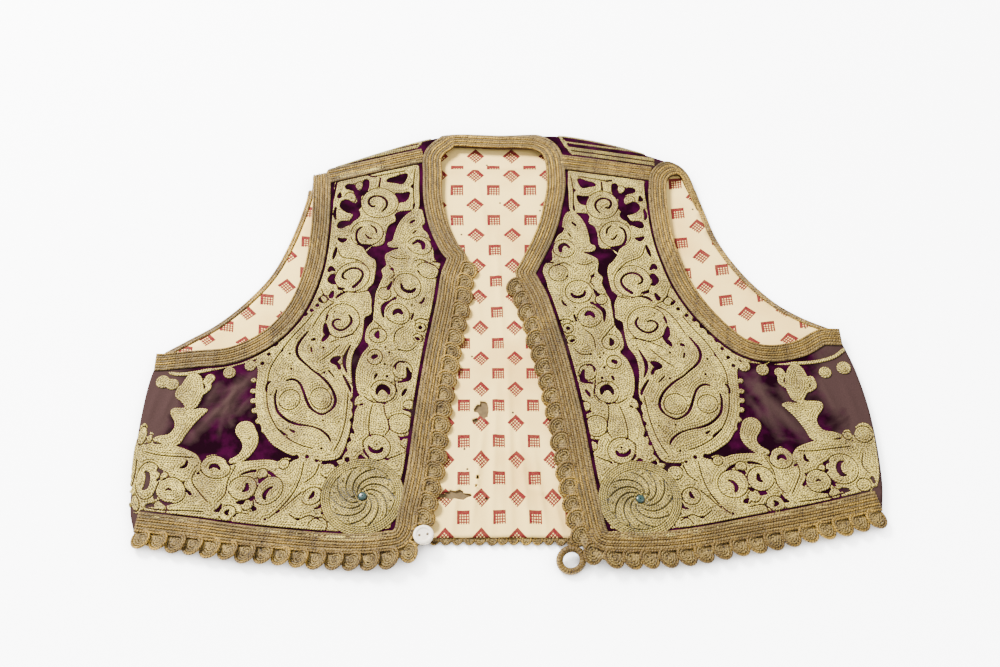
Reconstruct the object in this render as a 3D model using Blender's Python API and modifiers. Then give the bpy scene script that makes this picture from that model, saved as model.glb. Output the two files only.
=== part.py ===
"""A short velvet waistcoat with braided edges, laid out flat on its back.

The cloth is followed by its own length: up the back along the table, round the fold over the
shoulders, and down the two fronts, which lie on the back. A place on it is written (x, past): x
across, and past for how far beyond the start of the fold it lies along the cloth. The functions
lower() and upper() give this for a place seen from above.
Right and left are the wearer's, so the right front lies at -X. Tables are in millimetres.
"""

import math

import bmesh
import bpy
import numpy as np
from mathutils import Matrix, Vector
from mathutils.geometry import delaunay_2d_cdt

MM = 0.001

# The origin is under the middle of the back, on the table.
ORIGIN_X = 5.0
ORIGIN_Y = 172.0

# Wall thicknesses, and the gap kept between two pieces that touch.
VELVET = 2.0
LINING = 1.0
BRAID = 1.6
SCALLOP = 2.8
GAP = 0.3

# Heights of the middle of the velvet wall where it lies flat, and the fold at the shoulders.
BACK_HEIGHT = VELVET / 2
FRONT_HEIGHT = VELVET + GAP + LINING + 0.4 + VELVET / 2
FOLD_RADIUS = 3.6
FOLD_LENGTH = math.pi * FOLD_RADIUS
FOLD_ROWS = 6
FOLD_SLACK = 0.14
FOLD_TOP = BACK_HEIGHT + 2 * FOLD_RADIUS
SETTLING = 100.0

# The two front corners at the hem curl up a little, because the braid is stiff.
CORNER_LIFT = 3.4
CORNER_REACH = 80.0

# The side seam is where back and front turn towards each other.
SIDE_LIP = 5.0
SIDE_DROP = 0.95
SIDE_RISE = 0.55

# Widths of the trimmings.
EDGE_BAND = 16.0
NECK_BAND = 17.0
HEM_BAND = 15.0
SHOULDER_BAND = 14.0
ARMHOLE_BAND = 15.0
SCALLOP_REACH = 13.0
SCALLOP_START = 4.0
SCALLOP_GAP = 0.7
EDGE_INSET = 0.2
LINING_INSET = 3.0
BACK_SCALLOP_REACH = 4.0
EDGE_CORD = 2.4

# Spacing of the mesh points: over the cloth, along an edge, through the fold, and at a seam's lip.
CLOTH_GRID = 26.0
EDGE_STEP = 15.0
FOLD_STEP = FOLD_LENGTH / FOLD_ROWS
FOLD_SPREAD = 10.0
LIP_STEP = 2.5
MIN_SPACING = 0.8

# Where the fold starts on the table: columns x, y.
FOLD_LINE = [
    (-170, 322), (-140, 333), (-100, 349), (-66, 361), (-40, 366.5), (0, 365.5),
    (32, 366.5), (60, 365), (100, 355), (140, 340), (170, 326),
]

# Edges of the fronts, seen from above: columns x, y.
RIGHT_HEM = [(-64, -6), (-85, -12), (-110, -13), (-150, -10), (-190, -6), (-230, 0), (-270, 5)]
RIGHT_SIDE = [(-270, 5), (-275, 25), (-277, 72), (-276, 110), (-273, 136), (-267, 154)]
RIGHT_ARMHOLE = [
    (-267, 154), (-240, 157), (-215, 160), (-195, 170), (-180, 184), (-168, 205),
    (-160, 235), (-157, 270), (-157, 300), (-158, 322),
]
RIGHT_SHOULDER = [(-158, 322), (-54, 351)]
RIGHT_NECK = [(-54, 351), (-50, 330), (-49, 305), (-44, 280), (-36, 260), (-28, 246)]
RIGHT_EDGE = [
    (-28, 246), (-33, 225), (-36, 200), (-44, 150), (-50, 100), (-55, 50), (-60, 20), (-64, -6),
]
LEFT_HEM = [(66, -9), (90, -12), (120, -11), (150, -7), (190, 1), (235, 10), (284, 22)]
LEFT_SIDE = [(284, 22), (287, 45), (287, 80), (284, 114), (277, 148), (266, 176)]
LEFT_ARMHOLE = [
    (266, 176), (252, 175), (235, 166), (215, 162), (198, 166), (183, 179), (167, 200),
    (156, 220), (149, 240), (143, 265), (140, 295), (140, 326),
]
LEFT_SHOULDER = [(140, 326), (40, 343)]
LEFT_NECK = [(40, 343), (40, 318), (37, 298), (33, 280), (26, 260), (17, 240), (13, 230)]
LEFT_EDGE = [
    (13, 230), (19, 215), (25, 200), (38, 150), (48, 100), (55, 50), (60, 20), (66, -9),
]

# Edges of the back: the hem and the armholes on the table, the neck on the turned-over part.
BACK_HEM = [(-270, 3), (-235, -3), (-150, 0), (0, 1), (100, 1), (200, 8), (284, 20)]
BACK_RIGHT_ARMHOLE = [
    (-267, 154), (-247, 167), (-225, 182), (-203, 204), (-184, 231), (-171, 265),
    (-162, 301), (-160, 318),
]
BACK_LEFT_ARMHOLE = [
    (266, 176), (241, 188), (219, 204), (197, 230), (179, 262), (169, 295), (163, 318),
]
BACK_NECK = [
    (40, 343), (37, 350), (30, 355), (15, 356), (0, 356), (-20, 357), (-38, 358), (-48, 357),
    (-54, 351),
]
# How x moves at the shoulder ends while the cloth turns over: columns x, share of the turn.
LEFT_SHOULDER_END = [(163, 0.0), (154, 0.5), (142, 1.0)]
RIGHT_SHOULDER_END = [(-160, 0.0), (-160, 0.5), (-158, 1.0)]
# The shares of the turn at which trims and lining end in the fold, on rows of its mesh.
BAND_TURN = 3 / FOLD_ROWS
NECK_TURN = 2 / FOLD_ROWS
LINING_TURN = 4 / FOLD_ROWS

# The button on the right corner and the loop on the left one.
BUTTON_PLACE = (-56, 0)
BUTTON_RADIUS = 7.5
BUTTON_THICKNESS = 2.6
BUTTON_LIFT = 4.4
BUTTON_EDGE = 0.7
BUTTON_DISH_RADIUS = 5.4
BUTTON_DISH_DEPTH = 0.5
BUTTON_HOLE_RADIUS = 0.75
BUTTON_HOLE_OFFSET = 2.6
BUTTON_HOLE_ANGLE = math.radians(12)
LOOP_PLACE = (50.4, -17.8)
LOOP_RADIUS = 7.6
LOOP_CORD = 1.9
LOOP_HEIGHT = 5.6
LOOP_TILT = math.radians(14)

COLOURS = {
    "velvet": ((0.08, 0.03, 0.09, 1), 0.8, 0.0),
    "lining": ((0.80, 0.72, 0.58, 1), 0.9, 0.0),
    "braid": ((0.42, 0.33, 0.19, 1), 0.6, 0.3),
    "scallop": ((0.38, 0.27, 0.14, 1), 0.65, 0.25),
    "button": ((0.85, 0.84, 0.80, 1), 0.3, 0.0),
}


def clear_scene():
    """Removes what a new file holds."""
    for obj in list(bpy.data.objects):
        bpy.data.objects.remove(obj)


def material(name):
    """The Principled material of one finish, made on first use."""
    found = bpy.data.materials.get(name)
    if found:
        return found
    colour, roughness, metallic = COLOURS[name]
    made = bpy.data.materials.new(name)
    made.use_nodes = True
    shader = made.node_tree.nodes["Principled BSDF"]
    shader.inputs["Base Color"].default_value = colour
    shader.inputs["Roughness"].default_value = roughness
    shader.inputs["Metallic"].default_value = metallic
    return made


def smooth_curve(table, step=1.0):
    """Points every step or so on a smooth curve through a table's points, ends included."""
    knots = np.array(table, float)
    if len(knots) == 2:
        count = max(2, int(np.linalg.norm(knots[1] - knots[0]) / step) + 1)
        return knots[0] + np.linspace(0, 1, count)[:, None] * (knots[1] - knots[0])
    ends = np.vstack([2 * knots[0] - knots[1], knots, 2 * knots[-1] - knots[-2]])
    made = []
    for a, b, c, d in zip(ends, ends[1:], ends[2:], ends[3:]):
        count = max(2, int(np.linalg.norm(c - b) / step))
        t = (np.arange(count) / count)[:, None]
        made.append(0.5 * (2 * b + (c - a) * t + (2 * a - 5 * b + 4 * c - d) * t**2
                           + (3 * b - a - 3 * c + d) * t**3))
    return np.vstack(made + [knots[-1:]])


FOLD_CURVE = smooth_curve(FOLD_LINE)
COLUMNS = CLOTH_GRID * np.arange(-7, 8)
FOLD_AT_COLUMNS = np.interp(COLUMNS, FOLD_CURVE[:, 0], FOLD_CURVE[:, 1])
SIDE_CURVES = (smooth_curve(RIGHT_SIDE), smooth_curve(LEFT_SIDE))
CORNERS = (RIGHT_HEM[0], LEFT_HEM[0])


def fold_start(x):
    """How far up the table the cloth leaves it, straight from one column of the grid to the next."""
    return np.interp(x, COLUMNS, FOLD_AT_COLUMNS)


def lower(points):
    """(x, past) of places on the part of the back that lies on the table."""
    x, y = np.array(points, float).T
    return np.stack([x, y - fold_start(x)], axis=1)


def upper(points):
    """(x, past) of places on the turned-over cloth, where y beyond the fold's start runs into it."""
    x, y = np.array(points, float).T
    return np.stack([x, fold_start(x) + FOLD_LENGTH - y], axis=1)


def turned(table, first, last):
    """(x, past) along a line through the fold, from its x at shares of the half turn."""
    x, share = np.array(table, float).T
    shares = np.linspace(first, last, 25)
    return np.stack([np.interp(shares, share, x), shares * FOLD_LENGTH], axis=1)


def smooth_step(t):
    """0 to 1 with level ends."""
    t = np.clip(t, 0, 1)
    return t * t * (3 - 2 * t)


def distance_to(curve, x, y):
    """Distance from a place to a curve's nearest point."""
    return np.hypot(curve[:, 0] - x, curve[:, 1] - y).min()


def side_turn(x, y):
    """1 on a side seam, falling to 0 where the lip ends."""
    near = min(distance_to(curve, x, y) for curve in SIDE_CURVES)
    return max(0.0, 1 - near / SIDE_LIP) ** 2


def front_height(x, y):
    """Height of the middle of the velvet wall on the turned-over cloth."""
    fall = smooth_step((fold_start(x) - y) / SETTLING)
    height = FOLD_TOP + (FRONT_HEIGHT - FOLD_TOP) * fall
    for corner in CORNERS:
        near = 1 - math.hypot(x - corner[0], y - corner[1]) / CORNER_REACH
        height += CORNER_LIFT * smooth_step(near)
    return height - SIDE_DROP * side_turn(x, y)


def on_cloth(x, past, lift):
    """The point lift outside the middle of the velvet wall, in metres in the part's frame."""
    start = fold_start(x)
    if past <= 0:
        y = start + past
        z = BACK_HEIGHT + SIDE_RISE * side_turn(x, y) - lift
    elif past < FOLD_LENGTH:
        angle = past / FOLD_RADIUS
        reach = FOLD_RADIUS + lift * (1 + FOLD_SLACK * math.sin(angle))
        y = start + reach * math.sin(angle)
        z = BACK_HEIGHT + FOLD_RADIUS - reach * math.cos(angle)
    else:
        y = start + FOLD_LENGTH - past
        z = front_height(x, y) + lift
    return Vector((x - ORIGIN_X, y - ORIGIN_Y, z)) * MM


def offset_line(points, distance):
    """A line moved sideways, to its left for a positive distance."""
    along = np.gradient(points, axis=0)
    along /= np.linalg.norm(along, axis=1)[:, None]
    return points + distance * np.stack([-along[:, 1], along[:, 0]], axis=1)


def shortened(line, start=0.0, end=0.0):
    """A fine line without so many millimetres at its start and at its end."""
    run = np.concatenate([[0], np.cumsum(np.linalg.norm(np.diff(line, axis=0), axis=1))])
    return line[(run >= start) & (run <= run[-1] - end)]


def thinned(line):
    """A fine line's ends, points near them for the lips, fold rows, and points at even steps."""
    run = np.concatenate([[0], np.cumsum(np.linalg.norm(np.diff(line, axis=0), axis=1))])
    wanted = {0.0, run[-1]}
    if run[-1] > 6 * LIP_STEP:
        wanted |= {LIP_STEP, 2 * LIP_STEP, run[-1] - LIP_STEP, run[-1] - 2 * LIP_STEP}
    levels = [line[:, 1] - row * FOLD_STEP for row in range(FOLD_ROWS + 1)]
    levels += [line[:, 0] - column for column in COLUMNS]
    by_fold = (line[:, 1] > -EDGE_STEP) & (line[:, 1] < FOLD_LENGTH + EDGE_STEP)
    for level in levels:
        for i in np.flatnonzero(((level[:-1] <= 0) != (level[1:] <= 0)) & by_fold[1:]):
            share = level[i] / (level[i] - level[i + 1])
            wanted.add(run[i] + share * (run[i + 1] - run[i]))
    marks = sorted(wanted)
    kept = [0.0]
    for mark in marks[1:]:
        gap = mark - kept[-1]
        if gap < MIN_SPACING and mark != run[-1]:
            continue
        if gap < MIN_SPACING and len(kept) > 1:
            kept.pop()
            gap = mark - kept[-1]
        pieces = max(1, round(gap / EDGE_STEP))
        kept += [kept[-1] + gap * (i + 1) / pieces for i in range(pieces)]
    return np.stack([np.interp(kept, run, line[:, axis]) for axis in (0, 1)], axis=1)


def inside(outline, points):
    """Which points lie inside a closed outline."""
    x, y = points.T
    found = np.zeros(len(points), bool)
    for (ax, ay), (bx, by) in zip(outline, np.roll(outline, -1, axis=0)):
        if ay != by:
            found ^= ((ay > y) != (by > y)) & (x < (bx - ax) * (y - ay) / (by - ay) + ax)
    return found


def inner_points(spans, outline):
    """Points inside an outline: a grid, with closer rows in the fold and by the side seams."""
    low, high = outline.min(axis=0), outline.max(axis=0)
    across = CLOTH_GRID * np.arange(math.ceil(low[0] / CLOTH_GRID), high[0] / CLOTH_GRID)
    below = -CLOTH_GRID * np.arange(1, 1 - low[1] / CLOTH_GRID)
    within = FOLD_STEP * np.arange(FOLD_ROWS + 1)
    above = FOLD_LENGTH + CLOTH_GRID * np.arange(1, high[1] / CLOTH_GRID)
    grid = np.array([(x, row) for x in across for row in (*below, *within, *above)])
    edge = np.vstack(spans)
    clear = np.array([distance_to(edge, *point) for point in grid])
    in_fold = (grid[:, 1] >= 0) & (grid[:, 1] <= FOLD_LENGTH + 0.01)
    return grid[(clear > np.where(in_fold, 0.6, 0.4 * CLOTH_GRID)) & inside(outline, grid)]


def lip_points(spans, outline):
    """Rows of points beside the side seams, where the cloth turns towards the other layer."""
    edge = np.vstack(spans)
    rows = []
    for curve in SIDE_CURVES:
        for layer in (lower, upper):
            for distance in (LIP_STEP, 2 * LIP_STEP):
                for side in (1, -1):
                    rows.append(thinned(offset_line(layer(curve), side * distance)))
    points = np.vstack(rows)
    clear = np.array([distance_to(edge, *point) for point in points])
    return points[(clear > 0.8 * LIP_STEP) & inside(outline, points)]


def spread(points, times):
    """(x, past) with the fold's rows drawn apart, so that triangles there join one row to the next."""
    x, past = points.T
    return np.stack([x, past + (times - 1) * np.clip(past, 0, FOLD_LENGTH)], axis=1)


def gathered(points, times):
    """The opposite of spread()."""
    x, past = points.T
    return np.stack([x, past - (1 - 1 / times) * np.clip(past, 0, times * FOLD_LENGTH)], axis=1)


def piece(name, spans, lift, thickness, finish_name, collection, grid=True):
    """A piece of cloth or trim: an outline in (x, past), filled, laid on the form, given a wall."""
    outline = np.vstack([thinned(span)[:-1] for span in spans])
    parts = [outline, inner_points(spans, outline)] if grid else [outline]
    if grid:
        parts.append(lip_points(spans, outline))
    points = spread(np.vstack([part for part in parts if len(part)]), 1 + FOLD_SPREAD)
    flat = [Vector(point) for point in points]
    places, _, faces, *_ = delaunay_2d_cdt(flat, [], [list(range(len(outline)))], 1, 1e-5)
    mesh = bpy.data.meshes.new(name)
    surface = gathered(np.array(places), 1 + FOLD_SPREAD)
    mesh.from_pydata([on_cloth(x, past, lift) for x, past in surface], [], faces)
    shaped = bmesh.new()
    shaped.from_mesh(mesh)
    bmesh.ops.recalc_face_normals(shaped, faces=shaped.faces)
    shaped.to_mesh(mesh)
    shaped.free()
    return finished(name, mesh, thickness, finish_name, collection)


def finished(name, mesh, thickness, finish_name, collection):
    """One object from a mesh, with its material and, for an open surface, its wall."""
    mesh.materials.append(material(finish_name))
    obj = bpy.data.objects.new(name, mesh)
    collection.objects.link(obj)
    if thickness:
        wall = obj.modifiers.new("wall", "SOLIDIFY")
        wall.thickness = thickness * MM
        wall.offset = 0
    return obj


def band(name, line, near, far, layer, lift, thickness, finish_name, collection):
    """A trim between two distances to the left of a line seen from above."""
    first, second = offset_line(line, near), offset_line(line, far)
    ends = [np.linspace(first[-1], second[-1], 20), np.linspace(second[0], first[0], 20)]
    spans = [layer(span) for span in (first, ends[0], second[::-1], ends[1])]
    return piece(name, spans, lift, thickness, finish_name, collection)


def build_fronts(collection):
    """The two velvet fronts, each lying on the back from its shoulder seam to its hem."""
    right = (RIGHT_HEM, RIGHT_SIDE, RIGHT_ARMHOLE, RIGHT_SHOULDER, RIGHT_NECK, RIGHT_EDGE)
    left = (LEFT_HEM, LEFT_SIDE, LEFT_ARMHOLE, LEFT_SHOULDER, LEFT_NECK, LEFT_EDGE)
    for name, tables in (("front_right", right), ("front_left", left)):
        spans = [upper(smooth_curve(table)) for table in tables]
        piece(name, spans, 0, VELVET, "velvet", collection)


def armhole_ends(share):
    """The back's two armhole edges, from the side seams into the fold by a share of its turn."""
    edges = []
    for armhole, end in ((BACK_LEFT_ARMHOLE, LEFT_SHOULDER_END), (BACK_RIGHT_ARMHOLE, RIGHT_SHOULDER_END)):
        edges.append(np.vstack([lower(smooth_curve(armhole)), turned(end, 0, share)]))
    return edges


def build_back(collection):
    """The velvet back, whose top edge has turned over, and the printed lining inside it."""
    seam = np.array([0, -2 * GAP])
    left_seam = upper(smooth_curve(LEFT_SHOULDER)) + seam
    right_seam = upper(smooth_curve(RIGHT_SHOULDER[::-1])) + seam
    left_edge, right_edge = armhole_ends(1.0)
    spans = [
        lower(smooth_curve(BACK_HEM)),
        lower(smooth_curve(LEFT_SIDE)),
        np.vstack([left_edge, left_seam[:1]]),
        left_seam,
        upper(smooth_curve(BACK_NECK)) + seam,
        right_seam,
        np.vstack([right_seam[-1:], right_edge[::-1]]),
        lower(smooth_curve(RIGHT_SIDE[::-1])),
    ]
    piece("back", spans, 0, VELVET, "velvet", collection)
    left_edge, right_edge = armhole_ends(LINING_TURN)
    top = np.array([[left_edge[-1][0], left_edge[-1][1]], [right_edge[-1][0], right_edge[-1][1]]])
    spans = [
        offset_line(shortened(spans[0], LINING_INSET, LINING_INSET), LINING_INSET),
        offset_line(shortened(spans[1], LINING_INSET, LINING_INSET), LINING_INSET),
        left_edge[3:] - np.array([LINING_INSET, 0]),
        smooth_curve(top + np.array([[-LINING_INSET, 0], [LINING_INSET, 0]])),
        right_edge[:2:-1] + np.array([LINING_INSET, 0]),
        offset_line(shortened(spans[7], LINING_INSET, LINING_INSET), LINING_INSET),
    ]
    joined = [np.vstack([span, after[:1]]) for span, after in zip(spans, spans[1:] + spans[:1])]
    lift = -(VELVET / 2 + GAP + LINING / 2)
    piece("back_lining", joined, lift, LINING, "lining", collection)


def joined_table(*tables):
    """Tables that share their ends, as one."""
    rows = list(tables[0])
    for table in tables[1:]:
        rows += table[1:]
    return rows


def build_bands(collection):
    """The braid bands, which lie on the velvet along its edges."""
    lift = VELVET / 2 + GAP + BRAID / 2
    trims = (
        ("right", RIGHT_HEM, RIGHT_ARMHOLE, RIGHT_SHOULDER_END, RIGHT_SHOULDER, RIGHT_NECK, RIGHT_EDGE,
         -1, 1),
        ("left", LEFT_HEM, LEFT_ARMHOLE, LEFT_SHOULDER_END, LEFT_SHOULDER, LEFT_NECK, LEFT_EDGE, 1, -1),
    )
    for side, hem, armhole, end, shoulder, neck, edge, hem_side, edge_side in trims:
        def trim(name, line, near, far, thickness=BRAID, finish_name="braid", height=lift):
            band(f"{name}_{side}", line, near, far, upper, height, thickness, finish_name, collection)

        front = smooth_curve(joined_table(neck, edge))
        trim("front_band", shortened(front, GAP, 0), edge_side * -EDGE_INSET, edge_side * -EDGE_BAND)
        hem_line = shortened(smooth_curve(hem), EDGE_BAND + 1, 0.8)
        trim("hem_band", hem_line, hem_side * EDGE_INSET, hem_side * HEM_BAND)
        line = shortened(smooth_curve(armhole), 0.8, 0)
        turning = turned(end, 1, BAND_TURN)
        edges = []
        for distance in (hem_side * EDGE_INSET, hem_side * ARMHOLE_BAND):
            inwards = np.array([-hem_side * abs(distance), 0])
            edges.append(np.vstack([upper(offset_line(line, distance)), turning + inwards]))
        first, second = edges
        spans = [first, np.array([first[-1], second[-1]]), second[::-1], np.array([second[0], first[0]])]
        piece(f"armhole_band_{side}", spans, lift, BRAID, "braid", collection)
        seam = shortened(smooth_curve(shoulder), ARMHOLE_BAND + 2.5, EDGE_BAND + 1.2)
        trim("shoulder_band", seam, -SHOULDER_BAND / 2, SHOULDER_BAND / 2)
        low = VELVET / 2 - 0.6
        row = shortened(smooth_curve(edge), SCALLOP_START, 3.0)
        trim("front_scallops", row, edge_side * SCALLOP_GAP, edge_side * SCALLOP_REACH, SCALLOP, "scallop", low)
        row = shortened(smooth_curve(hem), 1.0, 1.0)
        trim("hem_scallops", row, hem_side * -SCALLOP_GAP, hem_side * -SCALLOP_REACH, SCALLOP, "scallop", low)


def build_back_edges(collection):
    """The band that turns over the back of the neck, and the edges of the back that show."""
    lift = VELVET / 2 + GAP + BRAID / 2
    neck = shortened(smooth_curve(BACK_NECK), GAP, GAP) + np.array([0, 2 * GAP])
    edge, top = upper(offset_line(neck, -EDGE_INSET)), upper(offset_line(neck, -NECK_BAND))
    top[:, 1] = np.maximum(top[:, 1], NECK_TURN * FOLD_LENGTH)
    spans = [edge, np.array([edge[-1], top[-1]]), top[::-1], np.array([top[0], edge[0]])]
    piece("neck_band_back", spans, lift, BRAID, "braid", collection)
    hem = shortened(smooth_curve(BACK_HEM), 1.0, 1.0)
    band("back_hem_scallops", hem, -SCALLOP_GAP, -BACK_SCALLOP_REACH, lower, 0, VELVET, "scallop",
         collection)
    beside = EDGE_CORD / 2 + SCALLOP_GAP
    for side, edge, outwards in zip(("left", "right"), armhole_ends(BAND_TURN), (-1, 1)):
        line = thinned(shortened(offset_line(edge, outwards * beside), 1.0, 0))
        cord = bpy.data.curves.new(f"back_armhole_cord_{side}", "CURVE")
        cord.dimensions = "3D"
        cord.bevel_depth = EDGE_CORD / 2 * MM
        cord.bevel_resolution = 2
        cord.use_fill_caps = True
        spline = cord.splines.new("POLY")
        spline.points.add(len(line) - 1)
        for point, (x, past) in zip(spline.points, line):
            point.co = (*on_cloth(x, past, BACK_HEIGHT - EDGE_CORD / 2), 1)
        cord.materials.append(material("braid"))
        collection.objects.link(bpy.data.objects.new(cord.name, cord))


def stand_on_cloth(obj, place, lift):
    """Moves an object built about its own origin onto the turned-over cloth, square to it."""
    x, past = upper([place])[0]
    middle = on_cloth(x, past, lift)
    across = on_cloth(x + 1, upper([(place[0] + 1, place[1])])[0][1], lift) - middle
    along = on_cloth(x, past - 1, lift) - middle
    normal = across.cross(along).normalized()
    turn = Vector((0, 0, 1)).rotation_difference(normal)
    obj.data.transform(turn.to_matrix().to_4x4())
    obj.data.transform(Matrix.Translation(middle))


def build_button(collection):
    """The shirt button on the right corner, with two holes and a sunk middle."""
    bpy.ops.mesh.primitive_cylinder_add(
        vertices=28, radius=BUTTON_RADIUS * MM, depth=BUTTON_THICKNESS * MM)
    button = bpy.context.object
    button.name = "button"
    button.data.materials.append(material("button"))
    rim = button.modifiers.new("rim", "BEVEL")
    rim.width = BUTTON_EDGE * MM
    rim.segments = 2
    cuts = [(0, 0, BUTTON_DISH_RADIUS, BUTTON_THICKNESS - BUTTON_DISH_DEPTH)]
    for way in (-1, 1):
        x = way * BUTTON_HOLE_OFFSET * math.cos(BUTTON_HOLE_ANGLE)
        y = way * BUTTON_HOLE_OFFSET * math.sin(BUTTON_HOLE_ANGLE)
        cuts.append((x, y, BUTTON_HOLE_RADIUS, 0))
    solids = [button]
    for number, (x, y, radius, height) in enumerate(cuts):
        bpy.ops.mesh.primitive_cylinder_add(
            vertices=24 if height else 10, radius=radius * MM, depth=2 * BUTTON_THICKNESS * MM)
        cutter = bpy.context.object
        cutter.name = f"button_cutter_{number}"
        cutter.data.transform(Matrix.Translation(Vector((x, y, height)) * MM))
        cutter.hide_render = True
        cut = button.modifiers.new("cut", "BOOLEAN")
        cut.object = cutter
        cut.solver = "EXACT"
        solids.append(cutter)
    for solid in solids:
        stand_on_cloth(solid, BUTTON_PLACE, BUTTON_LIFT)
        for holder in solid.users_collection:
            holder.objects.unlink(solid)
        collection.objects.link(solid)


def build_loop(collection):
    """The button loop: a ring of covered cord at the left corner, its free end lower."""
    bpy.ops.mesh.primitive_torus_add(
        major_segments=26, minor_segments=8, major_radius=LOOP_RADIUS * MM,
        minor_radius=LOOP_CORD * MM)
    loop = bpy.context.object
    loop.name = "button_loop"
    loop.data.materials.append(material("braid"))
    x, y = LOOP_PLACE
    loop.data.transform(Matrix.Rotation(LOOP_TILT, 4, "X"))
    loop.data.transform(Matrix.Translation(Vector((x - ORIGIN_X, y - ORIGIN_Y, LOOP_HEIGHT)) * MM))
    for holder in loop.users_collection:
        holder.objects.unlink(loop)
    collection.objects.link(loop)


def main():
    """Builds every piece of the waistcoat."""
    clear_scene()
    collection = bpy.data.collections.new("waistcoat")
    bpy.context.scene.collection.children.link(collection)
    build_fronts(collection)
    build_back(collection)
    build_bands(collection)
    build_back_edges(collection)
    build_button(collection)
    build_loop(collection)


main()
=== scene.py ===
"""A short velvet waistcoat with couched gold cord, laid out flat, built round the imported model.

All tables are in millimetres, seen from above, in the plan that the pattern was drawn in. Its x runs
from the wearer's right to left and its y from the hem up to the neck. A y beyond the top fold runs
on round the fold and down the back. Right and left are the wearer's.
"""
import logging
import math
from dataclasses import dataclass, field
from enum import Enum
from functools import partial
from typing import Any, Callable, Sequence

import bpy
import numpy as np
from bpy.types import Material, Node, NodeSocket, NodeTree, Object
from mathutils import Euler, Matrix, Vector
from mathutils.geometry import delaunay_2d_cdt
from mathutils.kdtree import KDTree


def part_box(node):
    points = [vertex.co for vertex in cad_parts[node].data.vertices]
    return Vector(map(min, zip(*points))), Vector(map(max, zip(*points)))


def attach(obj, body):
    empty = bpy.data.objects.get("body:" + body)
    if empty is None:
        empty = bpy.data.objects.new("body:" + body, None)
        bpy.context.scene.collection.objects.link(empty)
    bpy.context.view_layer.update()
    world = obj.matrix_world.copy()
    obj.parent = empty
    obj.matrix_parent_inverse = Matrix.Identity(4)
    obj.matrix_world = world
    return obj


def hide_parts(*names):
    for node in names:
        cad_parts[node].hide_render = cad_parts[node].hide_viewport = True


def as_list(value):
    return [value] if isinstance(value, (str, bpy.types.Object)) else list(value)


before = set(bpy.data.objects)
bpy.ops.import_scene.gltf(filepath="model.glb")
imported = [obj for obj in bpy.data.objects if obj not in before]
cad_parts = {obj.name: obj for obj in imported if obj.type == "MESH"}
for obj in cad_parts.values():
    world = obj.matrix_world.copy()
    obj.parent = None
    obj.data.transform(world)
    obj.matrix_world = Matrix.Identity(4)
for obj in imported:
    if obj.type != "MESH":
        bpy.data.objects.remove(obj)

LOG = logging.getLogger("waistcoat")
MM = 0.001
ORIGIN = np.array([5.0, 172.0, 0.0])
Table = Sequence[Sequence[float]]
AddNode = Callable[..., Node]

# Outlines of the cloth, as the pattern gives them: columns x, y.
FOLD_LINE = [(-300, 322), (-170, 322), (-140, 333), (-100, 349), (-66, 361), (-40, 366.5), (0, 365.5),
             (32, 366.5), (60, 365), (100, 355), (140, 340), (170, 326), (300, 326)]
RIGHT_HEM = [(-64, -6), (-85, -12), (-110, -13), (-150, -10), (-190, -6), (-230, 0), (-270, 5)]
RIGHT_SIDE = [(-270, 5), (-275, 25), (-277, 72), (-276, 110), (-273, 136), (-267, 154)]
RIGHT_ARMHOLE = [
    (-267, 154), (-240, 157), (-215, 160), (-195, 170), (-180, 184), (-168, 205), (-160, 235), (-157, 270),
    (-157, 300), (-158, 322)]
RIGHT_SHOULDER = [(-158, 322), (-54, 351)]
RIGHT_NECK = [(-54, 351), (-50, 330), (-49, 305), (-44, 280), (-36, 260), (-28, 246)]
RIGHT_EDGE = [(-28, 246), (-33, 225), (-36, 200), (-44, 150), (-50, 100), (-55, 50), (-60, 20), (-64, -6)]
LEFT_HEM = [(66, -9), (90, -12), (120, -11), (150, -7), (190, 1), (235, 10), (284, 22)]
LEFT_SIDE = [(284, 22), (287, 45), (287, 80), (284, 114), (277, 148), (266, 176)]
LEFT_ARMHOLE = [
    (266, 176), (252, 175), (235, 166), (215, 162), (198, 166), (183, 179), (167, 200), (156, 220),
    (149, 240), (143, 265), (140, 295), (140, 326)]
LEFT_SHOULDER = [(140, 326), (40, 343)]
LEFT_NECK = [(40, 343), (40, 318), (37, 298), (33, 280), (26, 260), (17, 240), (13, 230)]
LEFT_EDGE = [(13, 230), (19, 215), (25, 200), (38, 150), (48, 100), (55, 50), (60, 20), (66, -9)]
BACK_HEM = [(-270, 3), (-235, -3), (-150, 0), (0, 1), (100, 1), (200, 8), (284, 20)]
BACK_RIGHT_ARMHOLE = [
    (-267, 154), (-247, 167), (-225, 182), (-203, 204), (-184, 231), (-171, 265), (-162, 301), (-160, 318)]
BACK_LEFT_ARMHOLE = [(266, 176), (241, 188), (219, 204), (197, 230), (179, 262), (169, 295), (163, 318)]
BACK_NECK = [
    (40, 343), (37, 350), (30, 355), (15, 356), (0, 356), (-20, 357), (-38, 358), (-48, 357), (-54, 351)]

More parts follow.
